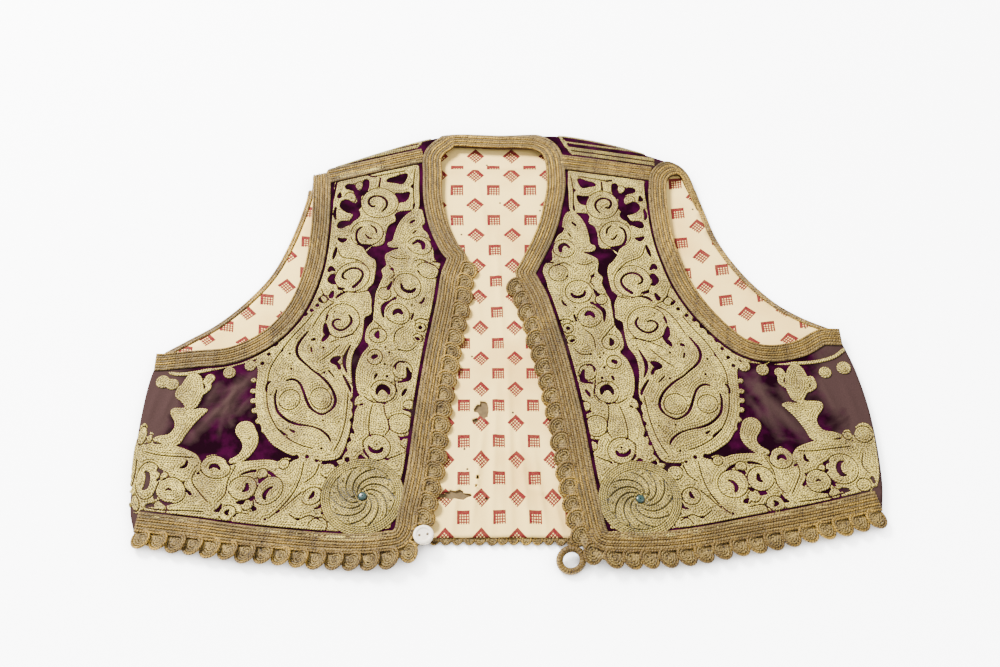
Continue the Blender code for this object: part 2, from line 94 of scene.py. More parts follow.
# Creases of the lining and of the bare velvet: from x, y to x, y, their height and width.
CREASES_LINING = (
    (-36, 2, -30, 60, 1.5, 1.8), (-22, 2, -12, 96, 1.7, 1.9), (-6, 2, -3, 130, 1.5, 2.0),
    (9, 2, 6, 150, 1.7, 2.1), (22, 2, 14, 90, 1.5, 1.8), (35, 2, 25, 74, 1.6, 1.9),
    (47, 2, 38, 40, 1.2, 1.6), (3, 160, -4, 270, 1.0, 2.0), (-14, 180, -26, 246, 0.9, 1.8),
    (14, 170, 26, 250, 0.9, 1.8), (20, 40, 46, 34, 0.9, 1.5), (-10, 262, -20, 330, 0.7, 2.0))
CREASES_LEFT = (
    (186, 140, 232, 84, 1.3, 2.2), (200, 136, 214, 82, 1.0, 1.9), (191, 118, 206, 94, 0.8, 1.6),
    (214, 134, 224, 112, 0.8, 1.7), (250, 132, 262, 100, 0.9, 2.4), (268, 128, 276, 98, 0.8, 2.6),
    (196, 128, 222, 120, 0.6, 1.6))
CREASES_RIGHT = (
    (-190, 140, -236, 80, 1.3, 2.2), (-204, 134, -216, 80, 1.0, 1.9), (-194, 116, -208, 92, 0.8, 1.6),
    (-218, 130, -228, 108, 0.8, 1.7), (-252, 128, -262, 94, 0.9, 2.4), (-266, 124, -272, 92, 0.8, 2.6),
    (-200, 126, -224, 118, 0.6, 1.6))


class Side(Enum):
    """The wearer's right or left, each with the sign of its x."""

    RIGHT = -1
    LEFT = 1

    @property
    def word(self) -> str:
        """Its word in the names of pieces."""
        return self.name.lower()


class Rib(Enum):
    """What a rib of braid is, each with its letter in a braid's pattern."""

    GILT = "g"
    SILK = "s"


def srgb(code: str) -> tuple[float, float, float, float]:
    """Turns an sRGB hex code to linear red, green, blue and alpha.

    Args:
        code: Six hex digits.

    Returns:
        Linear values from 0 to 1, with alpha 1.
    """
    values = [int(code[i:i + 2], 16) / 255 for i in (0, 2, 4)]
    linear = [v / 12.92 if v <= 0.04045 else ((v + 0.055) / 1.055) ** 2.4 for v in values]
    return (linear[0], linear[1], linear[2], 1.0)


def smooth_curve(table: Table, step: float = 1.0) -> np.ndarray:
    """Points on a smooth curve through a table's rows, whatever its number of columns.

    Args:
        table: Rows whose first two columns are x and y.
        step: Distance between the points.

    Returns:
        The points, the first and last row included.
    """
    knots = np.array(table, float)
    if len(knots) == 1:
        return knots
    ends = np.vstack([2 * knots[0] - knots[1], knots, 2 * knots[-1] - knots[-2]])
    made = []
    for a, b, c, d in zip(ends, ends[1:], ends[2:], ends[3:]):
        count = max(2, int(np.linalg.norm(c[:2] - b[:2]) / step))
        t = (np.arange(count) / count)[:, None]
        made.append(0.5 * (2 * b + (c - a) * t + (2 * a - 5 * b + 4 * c - d) * t**2
                           + (3 * b - a - 3 * c + d) * t**3))
    return np.vstack(made + [knots[-1:]])


def along(line: np.ndarray) -> np.ndarray:
    """Distance along a line at each of its points."""
    return np.concatenate([[0], np.cumsum(np.linalg.norm(np.diff(line[:, :2], axis=0), axis=1))])


def evened(line: np.ndarray, count: int) -> np.ndarray:
    """A line with so many points at even steps, and its ends kept.

    Args:
        line: The line.
        count: Number of its new points.

    Returns:
        The new line.
    """
    run = along(line)
    marks = np.linspace(0, run[-1], count)
    return np.stack([np.interp(marks, run, column) for column in line.T], axis=1)


def resampled(line: np.ndarray, step: float) -> np.ndarray:
    """A line with its points at even steps, to the nearest that fits, and its ends kept."""
    return evened(line, max(2, int(round(along(line)[-1] / step)) + 1))


def shortened(line: np.ndarray, start: float = 0.0, end: float = 0.0) -> np.ndarray:
    """A line without so many millimetres at its start and at its end."""
    run = along(line)
    return line[(run >= start) & (run <= run[-1] - end)]


def sideways(line: np.ndarray, closed: bool = False) -> np.ndarray:
    """Unit directions to the left of a line of x, y points.

    Args:
        line: Its points in order.
        closed: Whether its last point is its first one again.

    Returns:
        One direction for each point.
    """
    if closed:
        line = np.vstack([line[-2:-1], line, line[1:2]])
    ahead = np.gradient(line[:, :2], axis=0)
    ahead /= np.maximum(np.linalg.norm(ahead, axis=1)[:, None], 1e-9)
    left = np.stack([-ahead[:, 1], ahead[:, 0]], axis=1)
    return left[1:-1] if closed else left


def offset_line(line: np.ndarray, distance: float) -> np.ndarray:
    """A line moved sideways, to its left for a positive distance."""
    return line[:, :2] + distance * sideways(line)


def closed_up(line: np.ndarray) -> np.ndarray:
    """A line with its first point again at its end."""
    return np.vstack([line, line[:1]])


def circle(count: int) -> np.ndarray:
    """Points round a circle of radius 1, with the first one again at the end."""
    swing = np.linspace(0, 2 * math.pi, count)
    return np.stack([np.cos(swing), np.sin(swing)], axis=1)


def smooth_step(t: np.ndarray) -> np.ndarray:
    """0 to 1 with level ends."""
    t = np.clip(t, 0, 1)
    return t * t * (3 - 2 * t)


def inside(outline: np.ndarray, points: np.ndarray) -> np.ndarray:
    """Which points lie inside a closed outline.

    Args:
        outline: Its points in order.
        points: The points that are tested.

    Returns:
        True for each point that does.
    """
    x, y = points[:, 0], points[:, 1]
    found = np.zeros(len(points), bool)
    for (ax, ay), (bx, by) in zip(outline, np.roll(outline, -1, axis=0)):
        if ay != by:
            found ^= ((ay > y) != (by > y)) & (x < (bx - ax) * (y - ay) / (by - ay) + ax)
    return found


def from_span(points: np.ndarray, a: np.ndarray, b: np.ndarray) -> tuple[np.ndarray, np.ndarray]:
    """Where on a straight span from a to b each point lies nearest, and how far from it.

    Args:
        points: The points that are measured.
        a: The span's start.
        b: Its end.

    Returns:
        A share of the span from 0 to 1, and a distance, for each point.
    """
    span = b - a
    t = np.clip(((points - a) @ span) / max(span @ span, 1e-12), 0, 1)
    return t, np.linalg.norm(points - a - t[:, None] * span, axis=1)


def distance_to_line(line: np.ndarray, points: np.ndarray) -> np.ndarray:
    """Distance from each point to a line of x, y points.

    Args:
        line: Its points in order.
        points: The points that are measured.

    Returns:
        One distance for each point.
    """
    best = np.full(len(points), 1e9)
    for a, b in zip(line, line[1:]):
        best = np.minimum(best, from_span(points, a, b)[1])
    return best


def well_inside(outline: np.ndarray, points: np.ndarray, margin: float) -> np.ndarray:
    """The points that lie inside a closed outline, farther from it than a margin."""
    points = points[inside(outline, points)]
    return points[distance_to_line(closed_up(outline), points) > margin]


@dataclass(frozen=True)
class Form:
    """The shape in which the cloth lies: flat back, fold at the shoulders, fronts on top."""

    velvet: float = 2.0
    lining: float = 1.0
    gap: float = 0.3
    fold_radius: float = 3.6
    settling: float = 100.0
    corner_lift: float = 3.4
    corner_reach: float = 80.0

    @property
    def fold_length(self) -> float:
        """Length of the half turn."""
        return math.pi * self.fold_radius

    @property
    def front_base(self) -> float:
        """Height of the middle of the front's velvet where it has settled."""
        return self.velvet + self.gap + self.lining + 0.4 + self.velvet / 2

    def fold_start(self, x: np.ndarray) -> np.ndarray:
        """The y at which the cloth leaves the table, at each x."""
        return np.interp(x, FOLD_CURVE[:, 0], FOLD_CURVE[:, 1])

    def front_height(self, xy: np.ndarray) -> np.ndarray:
        """Height of the middle of the velvet on the fronts.

        Args:
            xy: Points seen from above.

        Returns:
            One height for each point.
        """
        x, y = xy[:, 0], xy[:, 1]
        top = self.velvet / 2 + 2 * self.fold_radius
        fall = smooth_step((self.fold_start(x) - y) / self.settling)
        height = top + (self.front_base - top) * fall
        for corner in (RIGHT_HEM[0], LEFT_HEM[0]):
            near = 1 - np.hypot(x - corner[0], y - corner[1]) / self.corner_reach
            height += self.corner_lift * smooth_step(near)
        return height + self.drape(x, y) * smooth_step((self.fold_start(x) - y) / 25)

    def creases(self, x: np.ndarray, y: np.ndarray,
                table: Table = (*CREASES_LEFT, *CREASES_RIGHT)) -> np.ndarray:
        """Height of sharp creases.

        Args:
            x: Places across.
            y: Places along.
            table: The creases, those in the bare velvet unless told.

        Returns:
            One height for each place.
        """
        height = np.zeros(len(x))
        xy = np.stack([x, y], axis=1)
        for ax, ay, bx, by, rise, width in table:
            t, near = from_span(xy, np.array([ax, ay]), np.array([bx, by]))
            height += rise * np.exp(-(near / width) ** 2) * np.sin(math.pi * (0.08 + 0.84 * t))
        return height

    def drape(self, x: np.ndarray, y: np.ndarray) -> np.ndarray:
        """The slow waves of cloth that has been stored folded, never below the flat height.

        Args:
            x: Places across.
            y: Places along.

        Returns:
            One height for each place.
        """
        wave = (np.sin(x / 17.0 + y / 41.0) + np.sin(x / 29.0 - y / 23.0 + 1.3)
                + 0.6 * np.sin(y / 13.0 + x / 53.0))
        underarm = np.exp(-((x - 262) ** 2 + (y - 168) ** 2) / 130.0)
        return 0.22 * (wave + 2.6) + 3.0 * underarm + self.creases(x, y)

    def upper(self, xy: np.ndarray, lift: Any) -> np.ndarray:
        """Places on the fronts, and on round the fold and down the outside of the back.

        Args:
            xy: Points seen from above, where y beyond the fold's start runs into it.
            lift: Height outside the middle of the velvet, one or one for each point.

        Returns:
            Positions in metres in the model's frame.
        """
        x, y = xy[:, 0], xy[:, 1]
        lift = np.broadcast_to(np.asarray(lift, float), x.shape)
        start = self.fold_start(x)
        into = y - start
        angle = np.clip(into / self.fold_radius, 0, math.pi)
        reach = self.fold_radius + lift * (1 + 0.14 * np.sin(angle))
        turned_y = start + reach * np.sin(angle)
        turned_z = self.velvet / 2 + self.fold_radius + reach * np.cos(angle)
        flat = into <= 0
        past = into > self.fold_length
        place_y = np.where(flat, y, np.where(past, start - (into - self.fold_length), turned_y))
        place_z = np.where(
            flat, self.front_height(xy) + lift, np.where(past, self.velvet / 2 - lift, turned_z))
        return (np.stack([x, place_y, place_z], axis=1) - ORIGIN) * MM

    def lower(self, xy: np.ndarray, lift: Any) -> np.ndarray:
        """Places inside the back.

        Args:
            xy: Points seen from above.
            lift: Height above the middle of its velvet, one or one for each point.

        Returns:
            Positions in metres in the model's frame.
        """
        x, y = xy[:, 0], xy[:, 1]
        start = self.fold_start(x)
        into = np.maximum(y - start, 0)
        angle = np.clip(into / self.fold_radius, 0, math.pi)
        reach = self.fold_radius - np.broadcast_to(np.asarray(lift, float), x.shape)
        place_y = np.minimum(y, start) + reach * np.sin(angle)
        place_z = self.velvet / 2 + self.fold_radius - reach * np.cos(angle)
        return (np.stack([x, place_y, place_z], axis=1) - ORIGIN) * MM


FOLD_CURVE = smooth_curve(FOLD_LINE)
FORM = Form()


def feed(node: Node, feeds: dict) -> None:
    """Sets or links inputs of a node.

    Args:
        node: The node.
        feeds: Input name or number to a value, to the socket that it is linked from, or to a node
            whose first output it is linked from.
    """
    for key, value in feeds.items():
        source = value.outputs[0] if isinstance(value, Node) else value
        if isinstance(source, NodeSocket):
            node.id_data.links.new(source, node.inputs[key])
        else:
            node.inputs[key].default_value = source


def add_node(tree: NodeTree, kind: str, feeds: dict | None = None, **settings: Any) -> Node:
    """Adds one node with its settings and links.

    Args:
        tree: The node tree.
        kind: The type of the node, without its ShaderNode.
        feeds: What feed() takes.
        **settings: Properties of the node.

    Returns:
        The new node.
    """
    node = tree.nodes.new("ShaderNode" + kind)
    for name, value in settings.items():
        setattr(node, name, value)
    feed(node, feeds or {})
    return node


def blank_material(name: str) -> tuple[Material, Node, AddNode]:
    """A new material.

    Args:
        name: Its name.

    Returns:
        The material, its Principled shader, and add_node() for its tree.
    """
    material = bpy.data.materials.new(name)
    material.use_nodes = True
    tree = material.node_tree
    return material, tree.nodes["Principled BSDF"], partial(add_node, tree)


@dataclass(frozen=True)
class CottonVelvet:
    """Cotton velvet, woven and cut: a dense short pile, dark face on and bright at a slant."""

    name: str = "cotton_velvet"
    deep: str = "110008"
    vivid: str = "2c001e"
    # Grey-mauve of rubbed nap, laid on as painted highlight too.
    worn: str = "382826"
    glow: str = "b08aa8"

    def material(self) -> Material:
        """The velvet. Its pile catches light at a slant, and its nap turns grey-mauve where it is rubbed,
        and as painted highlight in broad patches and on the creases.

        Returns:
            The material.
        """
        material, shader, add = blank_material(self.name)
        place = add("TexCoord").outputs["Object"]
        # Crushed and rubbed patches some 30 mm across, whose grey-mauve is partly painted highlight.
        patch = add("TexNoise",
                    {"Vector": place, "Scale": 34.0, "Detail": 4.0, "Roughness": 0.55, "Distortion": 0.8})
        bent = add("TexNoise", {"Vector": place, "Scale": 90.0, "Detail": 3.0})
        # Tufts of the pile, drawn at 0.7 mm so that they show.
        pile = add("TexNoise", {"Vector": place, "Scale": 1500.0, "Detail": 1.0})
        # The pile turns grey-mauve where it is rubbed, and as painted highlight on the patches and the
        # creases.
        worn = add("Attribute", attribute_name="worn")
        shown = add("Math", {0: patch, 1: worn.outputs["Fac"]}, operation="ADD")
        mauve = add("MapRange", {"Value": shown, "From Min": 0.6, "From Max": 0.98})
        purple = add("MapRange", {"Value": bent, "From Min": 0.42, "From Max": 0.66})
        ground = add(
            "Mix", {"Factor": purple, "A": srgb(self.deep), "B": srgb(self.vivid)}, data_type="RGBA")
        colour = add(
            "Mix", {"Factor": mauve, "A": ground.outputs["Result"], "B": srgb(self.worn)}, data_type="RGBA")
        speck = add("MapRange", {"Value": pile, "To Min": 0.75, "To Max": 1.25})
        tufted = add("Mix", {"Factor": 1.0, "A": colour.outputs["Result"], "B": speck}, data_type="RGBA",
                     blend_type="MULTIPLY")
        bump = add("Bump", {"Height": pile, "Strength": 0.5, "Distance": 0.0003})
        feed(shader, {"Base Color": tufted.outputs["Result"], "Normal": bump, "Roughness": 0.85,
                      "Specular IOR Level": 0.02, "Sheen Weight": 0.015, "Sheen Roughness": 0.4,
                      "Sheen Tint": srgb(self.glow)})
        return material


@dataclass(frozen=True)
class GoldCord:
    """Cord of metal strip wound on a silk core: many small glints, dull where it has tarnished."""

    name: str
    bright: str
    dull: str
    # The dark colour painted as shade in the furrows beside the cord and in the dips between its turns.
    edge: str
    twist_mm: float = 2.0
    twist: float = 1.0
    streaks: float = 0.0
    metallic: float = 0.2
    roughness: float = 0.5
    patch_scale: float = 60.0
    # How far the painted shade darkens the furrows.
    furrow: float = 0.95
    rub: float = 0.0
    shine: float = 0.5

    def material(self) -> Material:
        """The cord. Its turns lean across it, and painted shade darkens it down in the furrows beside it
        and in the dips between its turns.

        Returns:
            The material.
        """
        material, shader, add = blank_material(self.name)
        place = add("TexCoord")
        # The cord's own map runs along it in millimetres, and across it from 0 to 1.
        lane = add("SeparateXYZ", {"Vector": place.outputs["UV"]})
        slant = add("Math", {0: lane.outputs["Y"], 1: 0.9 * self.twist_mm, 2: lane.outputs["X"]},
                    operation="MULTIPLY_ADD")
        turns = add("Math", {0: slant, 1: 2 * math.pi / self.twist_mm}, operation="MULTIPLY")
        wave = add("Math", {0: turns}, operation="SINE")
        # Single strips and hairs, drawn coarser than they are, at 1.2 mm.
        grain = add("TexNoise", {"Vector": place.outputs["Object"], "Scale": 800.0, "Detail": 2.0})
        patch = add(
            "TexNoise", {"Vector": place.outputs["Object"], "Scale": self.patch_scale, "Detail": 4.0})
        drawn = add("Mapping", {"Vector": place.outputs["UV"], "Scale": (0.16, 3.2, 1.0)})
        streak = add("TexNoise", {"Vector": drawn, "Scale": 1.0, "Detail": 3.0})
        fibre = add(
            "Math", {0: streak, 1: 5.0 * self.streaks, 2: -2.5 * self.streaks}, operation="MULTIPLY_ADD")
        lumps = add("Math", {0: wave, 1: self.twist, 2: fibre}, operation="MULTIPLY_ADD")
        speck = add("Math", {0: grain, 1: 6.0, 2: -3.0}, operation="MULTIPLY_ADD")
        relief = add("Math", {0: lumps, 1: speck}, operation="ADD")
        centre = add("Math", {0: lane.outputs["Y"], 1: -0.5}, operation="ADD")
        away = add("Math", {0: centre}, operation="ABSOLUTE")
        furrow = add("MapRange", {"Value": away, "From Min": 0.3, "From Max": 0.5, "To Max": self.furrow})
        # The fronts have been handled more than the neck, and are rubbed duller.
        height = add("SeparateXYZ", {"Vector": place.outputs["Object"]})
        rubbed = add("MapRange", {"Value": height.outputs["Y"], "From Min": 0.03, "From Max": 0.13,
                                  "To Min": self.rub, "To Max": 0.0})
        dulled = add("Math", {0: patch, 1: rubbed}, operation="ADD")
        tarnish = add("MapRange", {"Value": dulled, "From Min": 0.38, "From Max": 0.7})
        strip = add(
            "Mix", {"Factor": tarnish, "A": srgb(self.bright), "B": srgb(self.dull)}, data_type="RGBA")
        # Painted shade: the dips of the turns and the furrows beside the cord go over to the edge colour.
        dip = add("MapRange",
                  {"Value": relief, "From Min": -1.3, "From Max": 1.1, "To Min": 1.0, "To Max": 0.0})
        deep = add("Math", {0: furrow, 1: dip}, operation="MAXIMUM", use_clamp=True)
        colour = add(
            "Mix", {"Factor": deep, "A": strip.outputs["Result"], "B": srgb(self.edge)}, data_type="RGBA")
        bump = add("Bump", {"Height": relief, "Strength": 0.6, "Distance": 0.00025})
        feed(shader, {"Base Color": colour.outputs["Result"], "Normal": bump, "Metallic": self.metallic,
                      "Roughness": self.roughness, "Specular IOR Level": self.shine})
        return material


@dataclass(frozen=True)
class PrintedCotton:
    """Plain-weave cotton, block printed in red: squares and squares on their corners, by turns."""

    name: str = "printed_cotton"
    cloth: str = "f8d582"
    aged: str = "cf9d52"
    ink: str = "640216"
    fly_speck: str = "4a3a2a"
    # The size of a cell of the repeat, its printed square, that square's mesh and its thick edges.
    cell_mm: float = 30.0
    square_mm: float = 10.6
    mesh_mm: float = 2.1
    edge_mm: float = 2.4

    def motif(self, add: AddNode, axes: Node, shift: float, turn: float) -> Node:
        """One printed square in each cell of the repeat.

        Args:
            add: What adds a node to the tree.
            axes: A node that gives X across the cloth and Y along it, counted in repeats.
            shift: Place of the square in its cell.
            turn: Its turn in radians.

        Returns:
            The node that gives 1 on the ink and 0 off it.
        """
        local = []
        for axis in "XY":
            moved = add("Math", {0: axes.outputs[axis], 1: shift}, operation="ADD")
            part = add("Math", {0: moved}, operation="FRACT")
            local.append(
                add("Math", {0: part, 1: self.cell_mm, 2: -self.cell_mm / 2}, operation="MULTIPLY_ADD"))
        both = add("CombineXYZ", {"X": local[0], "Y": local[1]})
        spun = add("VectorRotate", {"Vector": both, "Angle": turn}, rotation_type="Z_AXIS")
        sides = add("SeparateXYZ", {"Vector": spun})
        half = self.square_mm / 2
        lines, edges, within = [], [], []
        for axis, edge, test in (
                ("X", self.edge_mm - half, "LESS_THAN"), ("Y", half - self.edge_mm, "GREATER_THAN")):
            value = sides.outputs[axis]
            scaled = add("Math", {0: value, 1: 1 / self.mesh_mm, 2: 0.5}, operation="MULTIPLY_ADD")
            part = add("Math", {0: scaled}, operation="FRACT")
            lines.append(add("Math", {0: part, 1: 0.5}, operation="GREATER_THAN"))
            edges.append(add("Math", {0: value, 1: edge}, operation=test))
            size = add("Math", {0: value}, operation="ABSOLUTE")
            within.append(add("Math", {0: size, 1: half}, operation="LESS_THAN"))
        fine = add("Math", {0: lines[0], 1: lines[1]}, operation="MAXIMUM")
        thick = add("Math", {0: edges[0], 1: edges[1]}, operation="MAXIMUM")
        drawn = add("Math", {0: fine, 1: thick}, operation="MAXIMUM")
        square = add("Math", {0: within[0], 1: within[1]}, operation="MULTIPLY")
        return add("Math", {0: drawn, 1: square}, operation="MULTIPLY")

    def material(self) -> Material:
        """The lining: matt, a little see-through in colour, stained and dotted with age.

        Returns:
            The material.
        """
        material, shader, add = blank_material(self.name)
        place = add("TexCoord")
        wobble = add("TexNoise", {"Vector": place.outputs["UV"], "Scale": 5.0, "Detail": 3.0})
        shift = add(
            "VectorMath", {0: wobble.outputs["Color"], 1: (0.02, 0.02, 0.0), 2: place.outputs["UV"]},
            operation="MULTIPLY_ADD")
        axes = add("SeparateXYZ", {"Vector": shift})
        straight = self.motif(add, axes, 0.0, 0.0)
        cornered = self.motif(add, axes, 0.5, math.pi / 4)
        printed = add("Math", {0: straight, 1: cornered}, operation="MAXIMUM")
        # The ink has sunk in unevenly, in spots of about 1 mm.
        spots = add("TexNoise", {"Vector": place.outputs["Object"], "Scale": 700.0, "Detail": 2.0})
        thin = add("MapRange",
                   {"Value": spots, "From Min": 0.3, "From Max": 0.7, "To Min": 1.0, "To Max": 0.94})
        ink = add("Math", {0: printed, 1: thin}, operation="MULTIPLY")
        age = add("TexNoise", {"Vector": place.outputs["Object"], "Scale": 16.0, "Detail": 5.0})
        aged = add("MapRange", {"Value": age, "From Min": 0.45, "From Max": 0.8, "To Max": 0.8})
        ground = add("Mix", {"Factor": aged, "A": srgb(self.cloth), "B": srgb(self.aged)}, data_type="RGBA")
        fly = add("TexVoronoi", {"Vector": place.outputs["Object"], "Scale": 19.0}, voronoi_dimensions="2D")
        dots = add("Math", {0: fly, 1: 0.017}, operation="LESS_THAN")
        cloth = add(
            "Mix", {"Factor": ink, "A": ground.outputs["Result"], "B": srgb(self.ink)}, data_type="RGBA")
        spotted = add("Mix", {"Factor": dots, "A": cloth.outputs["Result"], "B": srgb(self.fly_speck)},
                      data_type="RGBA")
        # Warp and weft, drawn at 0.8 mm.
        mapped = add("Mapping", {"Vector": place.outputs["UV"], "Scale": (37.0, 37.0, 1.0)})
        weave = add("TexChecker", {"Vector": mapped, "Scale": 1.0})
        slub = add("Math", {0: weave.outputs["Fac"], 1: 0.4, 2: spots}, operation="MULTIPLY_ADD")
        bump = add("Bump", {"Height": slub, "Strength": 0.35, "Distance": 0.00025})
        feed(shader, {"Base Color": spotted.outputs["Result"], "Normal": bump, "Roughness": 0.92,
                      "Specular IOR Level": 0.2})
        return material


@dataclass(frozen=True)
class PlainFinish:
    """A smooth or matt material with a cloudy colour and a fine grain."""

    name: str
    light: str
    dark: str
    roughness: float
    # Patches of colour and grains in a metre: 1000 puts one in each millimetre.
    cloud_scale: float
    grain_scale: float
    grain_depth: float = 0.0002
    coat: float = 0.0

    def material(self) -> Material:
        """The material, its colour drifting between the light and the dark one.

        Returns:
            The material.
        """
        material, shader, add = blank_material(self.name)
        place = add("TexCoord").outputs["Object"]
        cloud = add("TexNoise", {"Vector": place, "Scale": self.cloud_scale, "Detail": 3.0})
        grain = add("TexNoise", {"Vector": place, "Scale": self.grain_scale, "Detail": 2.0})
        colour = add(
            "Mix", {"Factor": cloud, "A": srgb(self.light), "B": srgb(self.dark)}, data_type="RGBA")
        bump = add("Bump", {"Height": grain, "Strength": 0.4, "Distance": self.grain_depth})
        feed(shader, {"Base Color": colour.outputs["Result"], "Normal": bump, "Roughness": self.roughness,
                      "Coat Weight": self.coat})
        return material


class Slot(Enum):
    """The record's material slots."""

    VELVET = "velvet"
    LINING = "lining"
    BRAID = "braid"
    SCALLOP = "scallop"
    BUTTON = "button"


@dataclass
class Mesh:
    """Points, faces and a map of one piece while it is being made."""

    points: list[np.ndarray] = field(default_factory=list)
    faces: list[np.ndarray] = field(default_factory=list)
    maps: list[np.ndarray] = field(default_factory=list)
    count: int = 0

    def add(self, points: np.ndarray, faces: np.ndarray, uv: np.ndarray) -> None:
        """Adds points, the faces between them, and one map coordinate for each point.

        Args:
            points: Positions in metres.
            faces: Rows of the numbers of points.
            uv: The map.
        """
        self.points.append(points)
        self.faces.append(faces + self.count)
        self.maps.append(uv)
        self.count += len(points)

    def sheet(self, grid: np.ndarray, uv: np.ndarray, closed: bool = False) -> None:
        """Adds a grid of points of shape (rows, columns, 3), rows along the piece.

        Args:
            grid: The points.
            uv: Their map coordinates, of shape (rows, columns, 2).
            closed: Whether the last column joins the first.
        """
        rows, columns = grid.shape[:2]
        index = np.arange(rows * columns).reshape(rows, columns)
        if closed:
            index = np.hstack([index, index[:, :1]])
        quads = np.stack([index[:-1, :-1], index[:-1, 1:], index[1:, 1:], index[1:, :-1]], axis=-1)
        self.add(grid.reshape(-1, 3), quads.reshape(-1, 4), uv.reshape(-1, 2))

    def build(self, name: str, material: Material, slot: Slot, replaces: Sequence[str] = ()) -> Object:
        """Makes the object, rides it on the root, and hides the CAD nodes that it stands for.

        Args:
            name: The piece's name.
            material: Its material.
            slot: The record's slot for its finish. Not used.
            replaces: The CAD nodes that it stands for.

        Returns:
            The object.
        """
        mesh = bpy.data.meshes.new(name)
        points = np.vstack(self.points)
        faces = [tuple(face) for block in self.faces for face in block.tolist()]
        mesh.from_pydata(points.tolist(), [], faces)
        mesh.materials.append(material)
        mesh.shade_smooth()
        layer = mesh.uv_layers.new(name="UVMap")
        loops = np.empty(len(mesh.loops), np.int32)
        mesh.loops.foreach_get("vertex_index", loops)
        layer.data.foreach_set("uv", np.vstack(self.maps)[loops].astype(np.float32).ravel())
        mesh.validate()
        piece = bpy.data.objects.new(name, mesh)
        bpy.context.scene.collection.objects.link(piece)
        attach(piece, "root")
        if replaces:
            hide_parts(*replaces)
        LOG.info("%s: %d faces", name, len(faces))
        return piece


def thicken(piece: Object, thickness: float) -> None:
    """Gives an open surface a wall, so many millimetres thick, on its underside."""
    piece.modifiers.new("wall", "SOLIDIFY").thickness = thickness * MM


def wear(piece: Object, values: np.ndarray) -> None:
    """Says how far the pile turns grey-mauve at each point of a velvet piece: wear, and painted highlight
    on the creases.
    """
    layer = piece.data.attributes.new("worn", "FLOAT", "POINT")
    layer.data.foreach_set("value", values.astype(np.float32))


def triangulated(rings: Sequence[np.ndarray], inner: np.ndarray) -> tuple[np.ndarray, np.ndarray]:
    """Triangles between rings and inner points, those inside holes among them.

    Args:
        rings: Closed outlines.
        inner: Points between them.

    Returns:
        The points and the triangles.
    """
    edges, start = [], 0
    for ring in rings:
        size = len(ring)
        edges += [(start + i, start + (i + 1) % size) for i in range(size)]
        start += size
    points = [Vector(point) for point in np.vstack([*rings, inner])]
    places, _, faces, *_ = delaunay_2d_cdt(points, edges, [], 0, 1e-5)
    return np.array([tuple(p) for p in places]), np.array([tuple(face) for face in faces])


def filled(outline: np.ndarray, inner: np.ndarray,
           holes: Sequence[np.ndarray] = ()) -> tuple[np.ndarray, np.ndarray]:
    """Triangles between a closed outline, holes and inner points.

    Args:
        outline: Points round the piece, seen from above.
        inner: Points inside it.
        holes: Closed outlines that are left open.

    Returns:
        The points and the triangles.
    """
    places, faces = triangulated([outline, *holes], inner)
    middle = places[faces].mean(axis=1)
    keep = inside(outline, middle)
    for hole in holes:
        keep &= ~inside(hole, middle)
    return places, faces[keep]


def grid_points(low: Sequence[float], high: Sequence[float], step: float) -> np.ndarray:
    """Points of a triangular grid between two corners.

    Args:
        low: Lowest x and y.
        high: Highest x and y.
        step: Distance between them.

    Returns:
        The points.
    """
    xs, ys = np.meshgrid(np.arange(low[0], high[0], step), np.arange(low[1], high[1], step * 0.87))
    xs = xs + (np.arange(len(xs)) % 2)[:, None] * step / 2
    return np.stack([xs.ravel(), ys.ravel()], axis=1)


@dataclass(frozen=True)
class Light:
    """One soft lamp of the studio."""

    name: str
    place: tuple[float, float, float]
    size: float
    power: float


